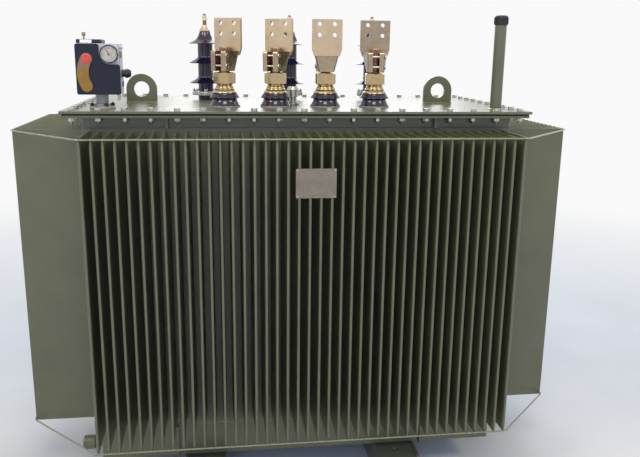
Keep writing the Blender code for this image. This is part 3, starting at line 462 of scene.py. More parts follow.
def frame_shape(node):
    """A CAD node's shape, merged, with its flat parts each made one face."""
    bm = bmesh.new()
    bm.from_mesh(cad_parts[node].data)
    merge(bm)
    bmesh.ops.dissolve_limit(bm, angle_limit=math.radians(0.5), verts=bm.verts[:],
                             edges=bm.edges[:])
    return face_out(bm)


def frame_copy(node, width, segments=2):
    """A CAD node's shape with its edges rounded."""
    return soften(frame_shape(node), width, segments)


def corners_of(node):
    """The lowest and the highest corner of a CAD node's box."""
    return [Vector(corner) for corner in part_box(node)]


def middle(node):
    """Middle of a CAD node's box."""
    low, high = corners_of(node)
    return (low + high) / 2


def foot(node):
    """Middle of a CAD node's box, at its lowest height."""
    place = middle(node)
    place.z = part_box(node)[0][2]
    return place


def finish_piece(name, bm, finishes, slot, *nodes):
    """Turns a bmesh into a piece of the transformer that stands for CAD nodes, if any are named."""
    mesh = to_mesh(bm, name)
    for item in finishes:
        mesh.materials.append(finish(item))
    mesh.shade_smooth()
    mesh.set_sharp_from_angle(angle=SHARP)
    piece = place_object(name, mesh)
    flat = piece.modifiers.new("flat faces", "WEIGHTED_NORMAL")
    flat.mode = "FACE_AREA"
    flat.keep_sharp = True
    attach(piece, "root")
    if nodes:
        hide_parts(*nodes)


def dress(node, name):
    """Gives a CAD node that stays as it is a finish."""
    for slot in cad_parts[node].material_slots:
        slot.material = finish(name)


# Sizes and colours that a user would change

def length(name, default, description):
    """A length setting, its default in mm."""
    return FloatProperty(name=name, description=description, default=default * MM, min=0.0,
                         unit="LENGTH", precision=5)


def count(name, default, least, description):
    """A number of things, with the least that can be set."""
    return IntProperty(name=name, description=description, default=default, min=least)


def colour(name, hex_colour, description):
    """A colour setting."""
    return FloatVectorProperty(name=name, description=description, default=linear(hex_colour),
                               subtype="COLOR", size=3, min=0.0, max=1.0)


class TransformerColours(PropertyGroup):
    """Colours of the finishes."""
    enamel: colour("Enamel", "5B5D45", "Olive-grey enamel of the tank")
    dust: colour("Dust", "8D9089", "Dust on faces that look up")
    glaze: colour("Glaze", "1C1632", "Glaze of the porcelains")
    brass: colour("Brass", "B5A17C", "Polished brass of caps and nuts")
    pale_brass: colour("Cast brass", "C3B29B", "Cast brass of the flag terminals")
    milled: colour("Milled brass", "A3947E", "Milled brass of the split clamps")
    # Painted shade: a darker copy of the cast brass, for the fourth palm.
    shaded_brass: colour("Brass in painted shade", "9C8F7E", "Cast brass painted darker as shade")
    copper: colour("Copper", "B79C92", "Copper of the studs")
    panel: colour("Relay panel", "15172B", "Front panel of the relay")
    amber: colour("Amber", "8B6606", "Oil behind the relay's window")


class TankSizes(PropertyGroup):
    """Sizes of the fins, their rods and the welds."""
    front_fins: count("Front fins", 41, 1, "Fins on a long wall")
    end_fins: count("End fins", 17, 1, "Fins on an end wall")
    fin_pitch: length("Fin pitch", 40.0, "Distance from fin to fin")
    fin_thickness: length("Fin thickness", 10.0, "Thickness of a full fin")
    fin_margin: length("Plate margin", 12.0, "Bare plate above and below the fins")
    fin_seam: length("Seam", 4.2, "Thickness of a fin where it is welded shut")
    fin_pinch: length("Pinch", 35.0, "Height over which a fin is pinched")
    tip_round: length("Tip round", 4.0, "Bend radius along a fin's tip")
    root_round: length("Root round", 4.0, "Bend radius where a fin leaves the plate")
    sheet: length("Sheet", 1.5, "Gauge of the folded sheet")
    edge: length("Edge", 1.2, "Rounding of plate edges under the paint")
    bead: length("Weld bead", 2.2, "Radius of a weld bead")
    rod_radius: length("Rod", 3.2, "Radius of the bars along the fin tips")
    rod_bend: length("Rod bend", 14.0, "Length of the rounding at a rod's corners")


class CoverSizes(PropertyGroup):
    """Sizes of the bolted cover joint."""
    front_bolts: count("Front bolts", 19, 2, "Bolts along a long side")
    end_bolts: count("End bolts", 10, 2, "Bolts along an end, corners included")
    row_x: length("Bolt row X", 855.5, "Distance of an end row from the middle")
    row_y: length("Bolt row Y", 417.0, "Distance of a long row from the middle")
    across: length("Across flats", 21.0, "Width of heads and nuts across their flats")
    head: length("Head", 8.0, "Height of a bolt head")
    nut: length("Nut", 11.0, "Height of a nut")
    washer: length("Washer", 13.0, "Radius of a washer")
    washer_height: length("Washer height", 2.5, "Thickness of a washer")
    shank: length("Shank", 6.0, "Radius of a bolt")
    tip: length("Tip", 9.0, "Thread that shows past the nut")


class BushingSizes(PropertyGroup):
    """Sizes of the bushings and their terminals."""
    nut_across: length("Nut across flats", 76.0, "Width of the big brass nut")
    nut_height: length("Nut height", 46.0, "Height of the big brass nut")
    stud: length("Stud", 21.0, "Radius of the copper stud")
    stud_pitch: length("Thread pitch", 3.0, "Pitch of the stud's thread")
    cap_height: length("Cap height", 37.0, "Height of the stepped brass cap")
    clamp_bolt: length("Clamp bolt", 5.0, "Radius of a bolt through the split clamp")
    clamp_out: length("Clamp bolt place", 38.5, "Distance of the clamp bolts from the stud's axis")
    clamp_depth: length("Clamp depth", 25.9, "Milled depth of the clamp, up to the palm's face")
    clamp_height: length("Clamp height", 78.0, "Height of the clamp")
    clamp_back: length("Clamp back", 58.0, "Height of the clamp's back, below the palm")
    clamp_half: length("Clamp half width", 34.0, "Half the width of the clamp at its foot")
    ear_cut: length("Ear cut", 10.0, "How far the clamp's ears are cut back")
    palm_corner: length("Palm corner", 6.5, "Reach of the palm's corner")
    base_ring: length("Base ring", 48.0, "Radius of the high-voltage base ring")


# Tank

# How a pinched fin opens out: parts of the pinched height, and of the way to its full thickness
FIN_OPENING = ((0.0, 0.0), (0.12, 0.06), (0.35, 0.38), (0.62, 0.78), (0.85, 0.96), (1.0, 1.0))


def fin_body(depth, height, sizes):
    """One fin, its wall face on Y = 0 and its tip towards -Y, pinched to a seam at both ends."""
    half, tip, root = sizes.fin_thickness / 2, sizes.tip_round, sizes.root_round
    outline = [Vector((half + root, sizes.sheet / 2, 0.0))]
    outline += [Vector((half + root - root * math.sin(a), root * math.cos(a) - root, 0.0))
                for a in (0.0, 0.52, 1.05, QUARTER)]
    outline += [Vector((half - tip + tip * math.cos(a), tip - depth - tip * math.sin(a), 0.0))
                for a in (0.0, 0.39, 0.79, 1.18, QUARTER)]
    outline += [Vector((-p.x, p.y, 0.0)) for p in reversed(outline)]
    bm = bmesh.new()
    bm.faces.new([bm.verts.new(point) for point in outline])
    seam = sizes.fin_seam / sizes.fin_thickness
    rows = [(sizes.fin_pinch * up, seam + (1 - seam) * full) for up, full in FIN_OPENING]
    rows += [(height - z, scale) for z, scale in reversed(rows)]
    ring = bm.edges[:]
    bmesh.ops.scale(bm, vec=(seam, 1.0, 1.0), verts=bm.verts[:])
    for (low, before), (high, scale) in zip(rows, rows[1:]):
        lifted = bmesh.ops.extrude_edge_only(bm, edges=ring)["geom"]
        verts, ring = only(bmesh.types.BMVert, lifted), only(bmesh.types.BMEdge, lifted)
        bmesh.ops.scale(bm, vec=(scale / before, 1.0, 1.0), verts=verts)
        bmesh.ops.translate(bm, vec=(0.0, 0.0, high - low), verts=verts)
    bmesh.ops.holes_fill(bm, edges=ring, sides=0)
    return face_out(bm)


def build_walls(sizes):
    """The four folded walls, each a plate with its row of fins and their welded seams."""
    walls = (("front", 0.0, sizes.front_fins), ("right", 90.0, sizes.end_fins),
             ("back", 180.0, sizes.front_fins), ("left", -90.0, sizes.end_fins))
    for side, degrees, fins in walls:
        node = "tank_%s_wall" % side
        turn = Matrix.Rotation(math.radians(degrees), 4, "Z")
        corners = [turn.inverted() @ corner for corner in corners_of(node)]
        low, high = [Vector([pick(pair) for pair in zip(*corners)]) for pick in (min, max)]
        face = high.y - sizes.sheet
        depth = face - low.y
        foot_z, head_z = low.z + sizes.fin_margin, high.z - sizes.fin_margin
        fin = fin_body(depth, head_z - foot_z, sizes)
        bm = block((low.x, face, low.z), high)
        bm.transform(turn)
        radius = sizes.fin_seam / 2
        # The beads on the fin seams are toned lighter than the enamel: painted highlight.
        bead = tube([(0.0, 0.0, 0.0), (0.0, radius - depth, 0.0)], radius, sides=1)
        for index in range(fins):
            x = (index - (fins - 1) / 2) * sizes.fin_pitch
            add(bm, fin, turn @ Matrix.Translation((x, face, foot_z)))
            for z in (foot_z + radius / 2, head_z - radius / 2):
                add(bm, bead, turn @ Matrix.Translation((x, face, z)), slot=1)
        finish_piece("corrugated_%s_wall" % side, bm, ("olive_enamel", "weld_enamel"),
                     "body_paint", node)


def build_rods(sizes):
    """Round bars welded along the fin tips and across the corners, bent and not mitred."""
    for level in ("upper", "lower"):
        node = level + "_fin_rod"
        low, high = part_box(node)
        radius = sizes.rod_radius
        inset = radius - (high[2] - low[2])
        reach_x, reach_y, z = high[0] + inset, high[1] + inset, (high[2] + low[2]) / 2
        past = sizes.fin_thickness / 2 + radius
        front, end = [(fins - 1) * sizes.fin_pitch / 2 + past
                      for fins in (sizes.front_fins, sizes.end_fins)]
        right = [(front, -reach_y, z), (reach_x, -end, z), (reach_x, end, z), (front, reach_y, z)]
        ring = rounded_ring(right + [(-x, -y, z) for x, y, z in right], sizes.rod_bend)
        # The rods are toned lighter than the enamel: painted highlight.
        finish_piece(level + "_tie_rod", tube(ring, radius, closed=True), ("weld_enamel",),
                     "body_paint", node)


def build_plates(sizes):
    """Bands, flange, skids, lugs and cover, with painted-over edges; floor and gasket dressed."""
    for node, edges in (("lower_band", 1.0), ("upper_band", 1.0), ("top_flange", 1.0),
                        ("skid_left", 2.0), ("skid_right", 2.0), ("lifting_lug_left", 1.6),
                        ("lifting_lug_right", 1.6)):
        finish_piece(node + "_plate", frame_copy(node, edges * sizes.edge), ("olive_enamel",),
                     "body_paint", node)
    finish_piece("cover_plate", frame_copy("cover", sizes.edge, 3), ("cover_enamel",),
                 "body_paint", "cover")
    dress("tank_floor", "olive_enamel")
    dress("cover_gasket", "black_rubber")


def build_welds(sizes):
    """Beads round the tank's foot, up its corners and round the feet of the lugs."""
    bm = bmesh.new()
    low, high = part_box("lower_band")
    half_x, half_y = high[0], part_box("tank_right_wall")[1][1] + sizes.sheet
    corners = [(-half_x, -half_y), (half_x, -half_y), (half_x, half_y), (-half_x, half_y)]
    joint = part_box("tank_front_wall")[0][2]
    add(bm, tube([(x, y, joint) for x, y in corners], sizes.bead, closed=True, sides=1))
    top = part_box("upper_band")[1][2] - sizes.bead
    for x, y in corners:
        add(bm, tube([(x, y, low[2] + sizes.bead), (x, y, top)], sizes.bead, sides=1))
    for node in ("lifting_lug_left", "lifting_lug_right"):
        low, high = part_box(node)
        ring = [(low[0], low[1]), (high[0], low[1]), (high[0], high[1]), (low[0], high[1])]
        add(bm, tube([(x, y, low[2] + sizes.bead / 2) for x, y in ring], 1.2 * sizes.bead, True))
    # The beads are toned lighter than the enamel: painted highlight.
    finish_piece("weld_beads", bm, ("weld_enamel",), "body_paint")


def cover_bolt_places(sizes):
    """Places of the cover bolts, round the rim."""
    step_x = 2 * sizes.row_x / (sizes.front_bolts - 1)
    step_y = 2 * sizes.row_y / (sizes.end_bolts - 1)
    places = [(-sizes.row_x + i * step_x, side * sizes.row_y)
              for i in range(sizes.front_bolts) for side in (-1, 1)]
    return places + [(side * sizes.row_x, -sizes.row_y + i * step_y)
                     for i in range(1, sizes.end_bolts - 1) for side in (-1, 1)]


def build_cover_bolts(sizes):
    """Bolts round the cover: head and washer above, nut, washer and thread below the flange."""
    bm = bmesh.new()
    top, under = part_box("cover")[1][2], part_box("top_flange")[0][2]
    washer = soften(disc_prism(sizes.washer, 20, sizes.washer_height), sizes.washer_height / 4, 1)
    head = hexagon(sizes.across, sizes.head, sizes.head / 5)
    nut = hexagon(sizes.across, sizes.nut, sizes.nut / 6)
    sunk = 2 * MM
    tip = threaded(sizes.shank, sizes.tip + sunk, 2 * MM, 12)
    down = Matrix.Rotation(math.pi, 4, "X")
    for index, (x, y) in enumerate(cover_bolt_places(sizes)):
        turn = math.radians(index * 37 % 60)
        add(bm, washer, at(x, y, top))
        add(bm, head, at(x, y, top + sizes.washer_height, turn))
        add(bm, washer, at(x, y, under) @ down)
        add(bm, nut, at(x, y, under - sizes.washer_height, -turn) @ down)
        add(bm, tip, at(x, y, under - sizes.washer_height - sizes.nut + sunk) @ down)
    finish_piece("cover_bolts", bm, ("zinc_plate",), "bare_aluminium")


# Bushings

def build_lv_bushings(sizes):
    """Squat porcelains, stepped brass caps, big nuts, copper studs and split-clamp flags."""
    for number, turn in enumerate(FLAG_TURNS, start=1):
        build_lv_porcelain(number)
        build_lv_stem(number, turn, sizes)
        build_lv_flag(number, turn, sizes)


def build_lv_porcelain(number):
    """A flared foot on a fibre ring, a hollow waist and one shed, all under glaze."""
    node = "lv_insulator_%d" % number
    place = Matrix.Translation(foot(node))
    bell = mm((59.2, 4.5))
    bell += flow(mm((60.2, 5.2), (60.0, 6.8), (56.2, 11.5), (52.2, 18.0), (49.2, 24.0),
                    (48.0, 29.5), (50.0, 33.5), (55.5, 35.2)))
    bell += flow(mm((58.0, 35.4), (58.9, 36.7), (58.3, 38.5), (54.8, 43.0), (51.2, 48.0),
                    (49.0, 51.7)))
    bm = bmesh.new()
    add(bm, lathe(bell + mm((0.0, 51.9)), 48), place)
    add(bm, soften(disc_prism(0.0609, 40, 0.005), 0.0008), place, slot=1)
    finish_piece("lv_porcelain_%d" % number, bm, ("aubergine_glaze", "grey_fibre"), "glaze", node)


def build_lv_stem(number, turn, sizes):
    """A stepped cap with black rings of painted shadow at its foot and in its groove, a hexagon nut
    with turned-off corners, and a threaded stud.
    """
    node = "lv_stem_%d" % number
    start = foot(node)
    place = at(start.x, start.y, start.z, turn)
    cap = flow(mm((47.0, 1.6), (47.8, 2.6), (47.4, 5.0), (45.0, 8.2), (42.4, 10.8),
                  (41.2, 12.4)), 3)
    cap += mm((36.0, 12.6), (36.0, 15.2))
    cap += flow(mm((38.8, 15.4), (39.8, 16.6), (39.2, 18.6), (36.4, 21.6), (35.2, 24.0),
                   (35.6, 25.8), (34.0, 28.6), (31.2, 31.8), (31.6, 35.0), (32.0, 36.8)), 3)
    bm = bmesh.new()
    add(bm, lathe(cap + mm((0.0, 37.0)), 48), place)
    # The black ring under the cap is painted shadow: it darkens the gap between porcelain and cap.
    add(bm, soften(disc_prism(0.0466, 48, 0.0022), 0.0005, 1), place, slot=2)
    # The black ring in the cap's groove is a rubber gasket, and black also as painted shade of the
    # groove.
    add(bm, soften(disc_prism(0.0384, 48, 0.0030), 0.0005, 1), place @ at(z=0.0124), slot=2)
    corner = sizes.nut_across / math.sqrt(3.0)
    shoulder = sizes.nut_across / 2 * 1.03 - 3 * MM
    chamfer = corner - shoulder
    wide, tall = shoulder + 1.8 * chamfer, sizes.nut_height
    barrel = lathe([(shoulder, 0.0), (wide, chamfer), (wide, tall - chamfer), (shoulder, tall)], 60)
    add(bm, common(disc_prism(corner, 6, tall), barrel), place @ at(z=sizes.cap_height))
    below = sizes.cap_height + tall - 4 * MM
    stud = threaded(sizes.stud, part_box(node)[1][2] - start.z - below, sizes.stud_pitch, 40)
    add(bm, stud, place @ at(z=below), slot=1)
    finish_piece("lv_nut_and_stud_%d" % number, bm,
                 ("polished_brass", "stud_copper", "black_rubber"), "brass", node)


def build_lv_flag(number, turn, sizes):
    """The flag: a cast palm, a milled split clamp, and two bolts screwed through its ears."""
    node = "lv_flag_%d" % number
    stem = foot("lv_stem_%d" % number)
    place = at(stem.x, stem.y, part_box(node)[0][2], turn)
    bm = flag_body(frame_shape(node), place, sizes)
    radius = sizes.clamp_bolt
    for z, reach in ((0.0205, 0.0346), (0.0605, 0.0348)):
        bolt = place @ Matrix.Translation((0.0, -sizes.clamp_out, z)) @ SIDEWAYS
        add(bm, threaded(radius, 2 * reach, 1.5 * MM), bolt @ at(z=-reach), slot=2)
        head = soften(disc_prism(1.7 * radius, 20, 0.005), 0.0008)
        add(bm, head, bolt @ at(z=reach - 0.001), slot=2)
        # The hexagon socket is a thin black disc on the head: painted shade of the recess.
        socket = disc_prism(0.9 * radius, 6, 0.0002)
        add(bm, socket, bolt @ at(z=reach + 0.0041), slot=3)
    # The fourth palm is painted in shade: a darker copy of the cast brass.
    palm = "shaded_cast_brass" if number == 4 else "cast_brass"
    finish_piece("flag_terminal_%d" % number, bm,
                 (palm, "milled_brass", "zinc_plate", "black_rubber"), "pale_brass", node)


def flag_body(bm, place, sizes):
    """The flag's CAD shape: ears cut back, sides flared to the palm, top corners square."""
    bm.transform(place.inverted())
    top = max(vert.co.z for vert in bm.verts)
    wide = max(vert.co.x for vert in bm.verts)
    ears, back = min(vert.co.y for vert in bm.verts), sizes.clamp_depth
    for vert in bm.verts:
        x, y, z = vert.co
        if z > top - sizes.palm_corner and abs(x) > wide - sizes.palm_corner:
            vert.co.x, vert.co.z = math.copysign(wide, x), top
        elif z < sizes.clamp_height:
            if abs(x) > sizes.stud + 3 * MM:
                rise, depth = z / sizes.clamp_height, min(1.0, (y - ears) / (back - ears))
                flare = depth * (0.60 * rise - 0.06) - 0.16 * rise
                vert.co.x = math.copysign(abs(x) + sizes.clamp_half * flare, x)
            if y < -2 * sizes.stud:
                vert.co.y = y + sizes.ear_cut
    merge(bm)
    soften(bm, 0.0010)
    for face in bm.faces:
        centre = face.calc_center_median()
        in_front = centre.y < back and centre.z < sizes.clamp_height + MM
        face.material_index = 1 if in_front or centre.z < sizes.clamp_back else 0
    bm.transform(place)
    return bm


def shed(tip):
    """Profile of a lower shed of the long porcelain, from the body out to its tip and back."""
    return flow(mm((33.0, -4.0), (35.0, 1.5), (43.0, 1.8), up=tip), 3) + flow(
        mm((67.2, 0.6), (70.4, 0.2), (71.2, 1.4), (70.0, 3.0), (58.2, 9.5), (40.0, 20.0),
           (34.0, 27.0), (33.0, 32.0), up=tip))


def build_hv_bushings(sizes):
    """Long shedded porcelains on clamped rings, with stepped terminals."""
    for number in range(1, 4):
        build_hv_base(number, sizes)
        node = "hv_insulator_%d" % number
        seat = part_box("hv_base_%d" % number)[0][2]
        centre = middle(node)
        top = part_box(node)[1][2] - seat
        body = mm((33.0, 36.5)) + shed(0.072) + shed(0.159)
        tip = 0.243
        body += mm((33.0, -4.0), (35.0, 1.2), up=tip) + flow(
            mm((67.0, 0.6), (70.5, 0.2), (71.3, 1.4), (70.0, 3.0), (56.0, 9.5), (39.5, 19.5),
               (30.0, 34.0), (24.5, 48.0), up=tip) + mm((23.6, -0.5), up=top))
        bm = lathe(body + [(0.0, top)], 48)
        bm.transform(at(centre.x, centre.y, seat))
        finish_piece("hv_porcelain_%d" % number, bm, ("aubergine_glaze",), "glaze", node)
        build_hv_terminal(number)


def build_hv_base(number, sizes):
    """The porcelain's foot, a cast ring round it, and four clamps, each with its bolt."""
    node = "hv_base_%d" % number
    place = Matrix.Translation(foot(node))
    bm = bmesh.new()
    add(bm, lathe(mm((33.5, 0.0), (34.0, 2.0), (34.0, 18.0)), 40), place, slot=1)
    add(bm, soften(disc_prism(sizes.base_ring, 40, 0.016), 0.002), place @ at(z=0.0185))
    ear = soften(block((0.0345, -0.009, 0.0185), (0.0605, 0.009, 0.036)), 0.0025)
    finger = soften(block((0.0335, -0.0075, 0.036), (0.0440, 0.0075, 0.0475)), 0.002)
    add_round(bm, ear, 4, place)
    add_round(bm, finger, 4, place)
    for index in range(4):
        bolt = place @ at(turn=index * QUARTER) @ at(0.0525, 0.0, 0.0355, index * 0.4)
        add(bm, hexagon(0.013, 0.008, 0.0012), bolt, slot=2)
        add(bm, threaded(0.004, 0.013, 1.25 * MM, 12), bolt, slot=2)
    finish_piece("hv_clamp_ring_%d" % number, bm,
                 ("dull_cast_aluminium", "aubergine_glaze", "zinc_plate"), "bare_aluminium", node)


def build_hv_terminal(number):
    """A brass cap that runs into a cone, a copper neck, two nuts and the thread's tip."""
    node = "hv_terminal_%d" % number
    place = Matrix.Translation(foot(node))
    bm = bmesh.new()
    cap = flow(mm((22.8, 0.0), (23.5, 1.0), (23.5, 5.0), (22.2, 6.6)), 3) + flow(
        mm((20.5, 7.2), (17.2, 12.0), (13.0, 18.5), (10.4, 25.0), (10.0, 26.2)), 3)
    add(bm, lathe(cap + mm((0.0, 26.4)), 40), place)
    add(bm, threaded(0.009, 0.022, 1.75 * MM, 24), place @ at(z=0.0250), slot=1)
    # The nuts are pale brass, lightened in part as painted highlight.
    for z, turn in ((0.0465, 0.3), (0.0575, 0.9)):
        add(bm, hexagon(0.0204, 0.0105, 0.0014), place @ at(z=z, turn=turn), slot=2)
    add(bm, threaded(0.0068, 0.0140, 1.75 * MM, 20), place @ at(z=0.0615), slot=1)
    finish_piece("hv_stud_%d" % number, bm, ("cast_brass", "stud_copper", "pale_nut_brass"),
                 "brass", node)


# Protection relay

DIAL_TICKS = 25
DIAL_SWEEP = 270.0      # degrees from the first tick to the last, clockwise
DIAL_START = 225.0      # degrees of the first tick
NEEDLE = 118.0          # degrees of the needle


def build_relay_neck():
    """A cast neck on a round flange, held by four black nuts."""
    node = "relay_neck"
    place = Matrix.Translation(foot(node))
    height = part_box(node)[1][2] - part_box(node)[0][2]
    body = mm((47.2, 0.0), (48.0, 1.0), (48.0, 7.5), (47.0, 8.8), (31.0, 9.0))
    body += flow(mm((30.0, 10.5), (29.8, 16.5), (28.5, 18.8)), 3)
    body += flow(mm((24.2, 19.5), (23.5, 23.0)) + mm((23.5, -4.0), (24.5, 0.0), up=height), 3)
    bm = bmesh.new()
    add(bm, lathe(body, 40), place)
    out = 0.0400
    for index in range(4):
        turn = index * QUARTER + 0.5
        spot = place @ at(out * math.cos(turn), out * math.sin(turn), 0.0088, turn)
        add(bm, soften(disc_prism(0.0085, 20, 0.0015), 0.0003, 1), spot, slot=1)
        add(bm, hexagon(0.0130, 0.0085, 0.0012), spot @ at(z=0.0015), slot=1)
        add(bm, threaded(0.004, 0.013, 1.25 * MM, 12), spot, slot=1)
    finish_piece("relay_cast_neck", bm, ("grey_cast_paint", "moulded_black_nylon"), "grey_metal",
                 node)


def build_relay_box():
    """The grey box with its plugs, black blocks as painted shade of its side slots, and the black
    front panel, left bare.
    """
    low, high = corners_of("relay_housing")
    bm = frame_copy("relay_housing", 0.0015)
    # The two black blocks on the right side stand for its slots: painted shade, proud of the face.
    for y, z, tall in ((0.018, 0.133, 0.024), (0.048, 0.026, 0.021)):
        cover = block((high.x - 0.002, low.y + y, low.z + z),
                      (high.x + 0.0016, low.y + y + 0.052, low.z + z + tall))
        add(bm, soften(cover, 0.001), slot=1)
    seam = block((high.x - 0.001, low.y + 0.010, low.z + 0.006),
                 (high.x + 0.0004, low.y + 0.0112, high.z - 0.006))
    add(bm, seam, slot=1)
    plug = lathe(mm((8.5, 0.0), (8.5, 5.0), (6.5, 6.0), (6.5, 11.0), (5.5, 12.0)), 24)
    add(bm, plug, Matrix.Translation((high.x, low.y + 0.020, high.z - 0.012)) @ SIDEWAYS)
    drain = lathe(mm((4.5, 0.0), (5.5, 1.0), (5.5, 18.0), (7.5, 18.0), (7.5, 24.0)), 20)
    add(bm, drain, Matrix.Translation((high.x - 0.010, low.y + 0.022, low.z - 0.0225)), slot=2)
    finish_piece("relay_box", bm, ("light_grey_abs", "moulded_black_nylon", "zinc_plate"),
                 "light_grey_plastic", "relay_housing")
    finish_piece("relay_front", frame_copy("relay_panel", 0.0012), ("navy_panel",),
                 "black_plastic", "relay_panel")


def build_relay_window():
    """The bowed amber window in its rim, with the red float at its top."""
    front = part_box("relay_window")[0][1]
    corner = corners_of("relay_panel")[0]
    bm = frame_copy("relay_window", 0.0016, 3)
    cup = lathe(mm((18.2, 0.0)) + flow(
        mm((18.5, 0.6), (17.6, 1.6), (13.0, 2.6), (6.0, 3.1), (0.0, 3.2)), 3), 36)
    place = Matrix.Translation((corner.x + 0.0400, front + 0.0012, corner.z + 0.1295))
    add(bm, cup, place @ FACING, slot=1)
    finish_piece("relay_level_window", bm, ("amber_polycarbonate", "red_float"), "amber_window",
                 "relay_window")


def build_relay_dial():
    """A dial with a dark bezel, a card with ticks, and a needle on its hub."""
    low, high = corners_of("relay_dial")
    centre = middle("relay_dial")
    place = Matrix.Translation((centre.x, high.y, centre.z)) @ FACING
    rim = high.y - low.y - MM
    bezel = mm((32.5, 0.0)) + mm((32.5, -4.0), up=rim) + flow(
        mm((32.8, -3.0), (32.5, 0.0), (31.0, 0.8), (29.5, 0.0), (29.0, -3.0), up=rim), 3)
    bm = bmesh.new()
    add(bm, lathe(bezel, 48), place)
    card = place @ at(z=rim - 0.003)
    add(bm, disc_prism(0.0289, 48, 0.0006), card, slot=1)
    for tick in range(DIAL_TICKS):
        angle = math.radians(DIAL_START - tick * DIAL_SWEEP / (DIAL_TICKS - 1))
        long = 0.0040 if tick % 4 else 0.0065
        bar = block((0.0262 - long, -0.0003, 0.0006), (0.0262, 0.0003, 0.0009))
        add(bm, bar, card @ at(turn=angle), slot=2)
    needle = block((-0.006, -0.0007, 0.0016), (0.0215, 0.0007, 0.0022))
    add(bm, needle, card @ at(turn=math.radians(NEEDLE)), slot=2)
    add(bm, soften(disc_prism(0.0028, 20, 0.0028), 0.0006), card, slot=2)
    finish_piece("relay_thermometer", bm, ("moulded_black_nylon", "dial_card", "dial_ink"),
                 "black_plastic", "relay_dial")


def build_relay_lid():
    """The lid with its bare label and its knob."""
    low, high = corners_of("relay_lid")
    top = low.z + 0.0145
    bm = soften(block(low, (high.x, high.y, top)), 0.003)
    knob = lathe(mm((3.2, 0.0), (3.2, 11.5), (6.0, 12.0), (7.0, 13.5), (7.0, 23.5),
                    (5.5, 25.5)), 24)
    # The knob takes the darker, browner brass that the fourth palm has as painted shade.
    add(bm, knob, Matrix.Translation((low.x + 0.022, (low.y + high.y) / 2, top)), slot=2)
    label = block((low.x + 0.014, low.y - 0.0003, low.z + 0.0015),
                  (low.x + 0.056, low.y + 0.001, top - 0.0015))
    add(bm, label, slot=1)
    finish_piece("relay_top_lid", bm, ("moulded_black_nylon", "bare_label", "shaded_cast_brass"),
                 "black_plastic", "relay_lid")


def build_relay_gland():
    """The cable gland on the right: two hexagons, a collar and a domed cap."""
    centre = middle("relay_gland")
    side = Matrix.Translation((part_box("relay_gland")[0][0], centre.y, centre.z)) @ SIDEWAYS
    bm = bmesh.new()
    add(bm, hexagon(0.0270, 0.009, 0.0015), side)
    add(bm, lathe(mm((12.8, 9.0), (12.8, 12.0)), 24), side)
    add(bm, hexagon(0.0298, 0.012, 0.0015), side @ at(z=0.012, turn=0.26))
    dome = flow(mm((14.6, 24.0), (14.4, 28.5), (12.0, 32.5), (9.2, 33.8)), 4)
    add(bm, lathe(dome + mm((7.5, 33.8), (7.0, 30.0)), 32), side)
    finish_piece("relay_cable_gland", bm, ("moulded_black_nylon",), "black_plastic", "relay_gland")


# Fittings on the tank

def build_fill_pipe():
    """An enamelled pipe on a weld bead, and a ribbed black screw cap."""
    start = foot("fill_pipe")
    place = Matrix.Translation(start)
    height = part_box("fill_pipe")[1][2] - start.z
    bm = bmesh.new()
    pipe = mm((23.0, 0.0)) + mm((23.0, -1.0), (22.0, 0.0), up=height)
    add(bm, lathe(pipe, 40), place)
    bead = mm((27.5, 0.0)) + flow(mm((27.2, 1.8), (25.5, 4.0), (23.2, 5.8)), 3)
    # The bead is toned lighter than the enamel: painted highlight.
    add(bm, lathe(bead, 40), place, slot=1)
    finish_piece("filling_pipe", bm, ("olive_enamel", "weld_enamel"), "body_paint", "fill_pipe")
    low, high = corners_of("fill_cap")
    tall, radius = high.z - low.z, (high.x - low.x) / 2
    core = mm((-1.5, 0.0), out=radius) + mm((-1.5, -8.0), out=radius, up=tall)
    core += flow(mm((-1.8, -6.0), (-4.5, -1.5), (-8.5, 0.0), out=radius, up=tall), 4)
    place = Matrix.Translation(foot("fill_cap"))
    bm = bmesh.new()
    add(bm, lathe(core, 40), place)
    rib = block((radius - 0.003, -0.0014, 0.002), (radius, 0.0014, tall - 0.008))
    add_round(bm, soften(rib, 0.0007, 1), 24, place)
    finish_piece("filling_cap", bm, ("moulded_black_nylon",), "black_plastic", "fill_cap")


def build_tap_head():
    """The tap-changer's head: a flanged stem, a grooved body and a bevelled cap."""
    node = "tap_changer_head"
    start = foot(node)
    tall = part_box(node)[1][2] - start.z
    stem = mm((27.5, 0.0), (28.0, 1.0), (28.0, 7.0), (27.2, 8.0), (21.2, 8.0), (21.2, 13.5),
              (20.4, 14.2), (15.0, 14.2))
    head = mm((15.0, -41.5), (21.2, -41.5), (22.0, -40.5), (22.0, -30.0), (21.0, -29.2),
              (21.0, -27.6), (22.0, -26.8), (22.0, -16.5), (24.0, -16.0), (24.5, -15.0),
              (24.5, -11.0), (19.6, -1.0), (18.4, 0.0), up=tall)
    bm = lathe(stem + head, 40)
    bm.transform(Matrix.Translation(start))
    finish_piece("tap_selector", bm, ("dull_cast_aluminium",), "cast_aluminium", node)


def build_rating_plate():
    """A bare aluminium plate with ruled lines, riveted at its corners."""
    low, high = corners_of("rating_plate")
    bm = frame_copy("rating_plate", 0.0005, 1)
    front, inset = low.y, 0.006
    rivet = lathe(mm((2.6, 0.0), (2.4, 0.7), (1.5, 1.3), (0.0, 1.5)), 16)
    for x in (low.x + inset, high.x - inset):
        for z in (low.z + inset, high.z - inset):
            add(bm, rivet, Matrix.Translation((x, front + 0.0003, z)) @ FACING, slot=1)
    for row in range(8):
        z = low.z + 0.014 + row * 0.010
        rule = block((low.x + 2 * inset, front - 0.00015, z),
                     (high.x - 2 * inset, front + 0.0002, z + 0.0006))
        add(bm, rule, slot=2)
    finish_piece("blank_rating_plate", bm, ("beige_anodised_plate", "zinc_plate", "plate_etching"),
                 "bare_aluminium", "rating_plate")


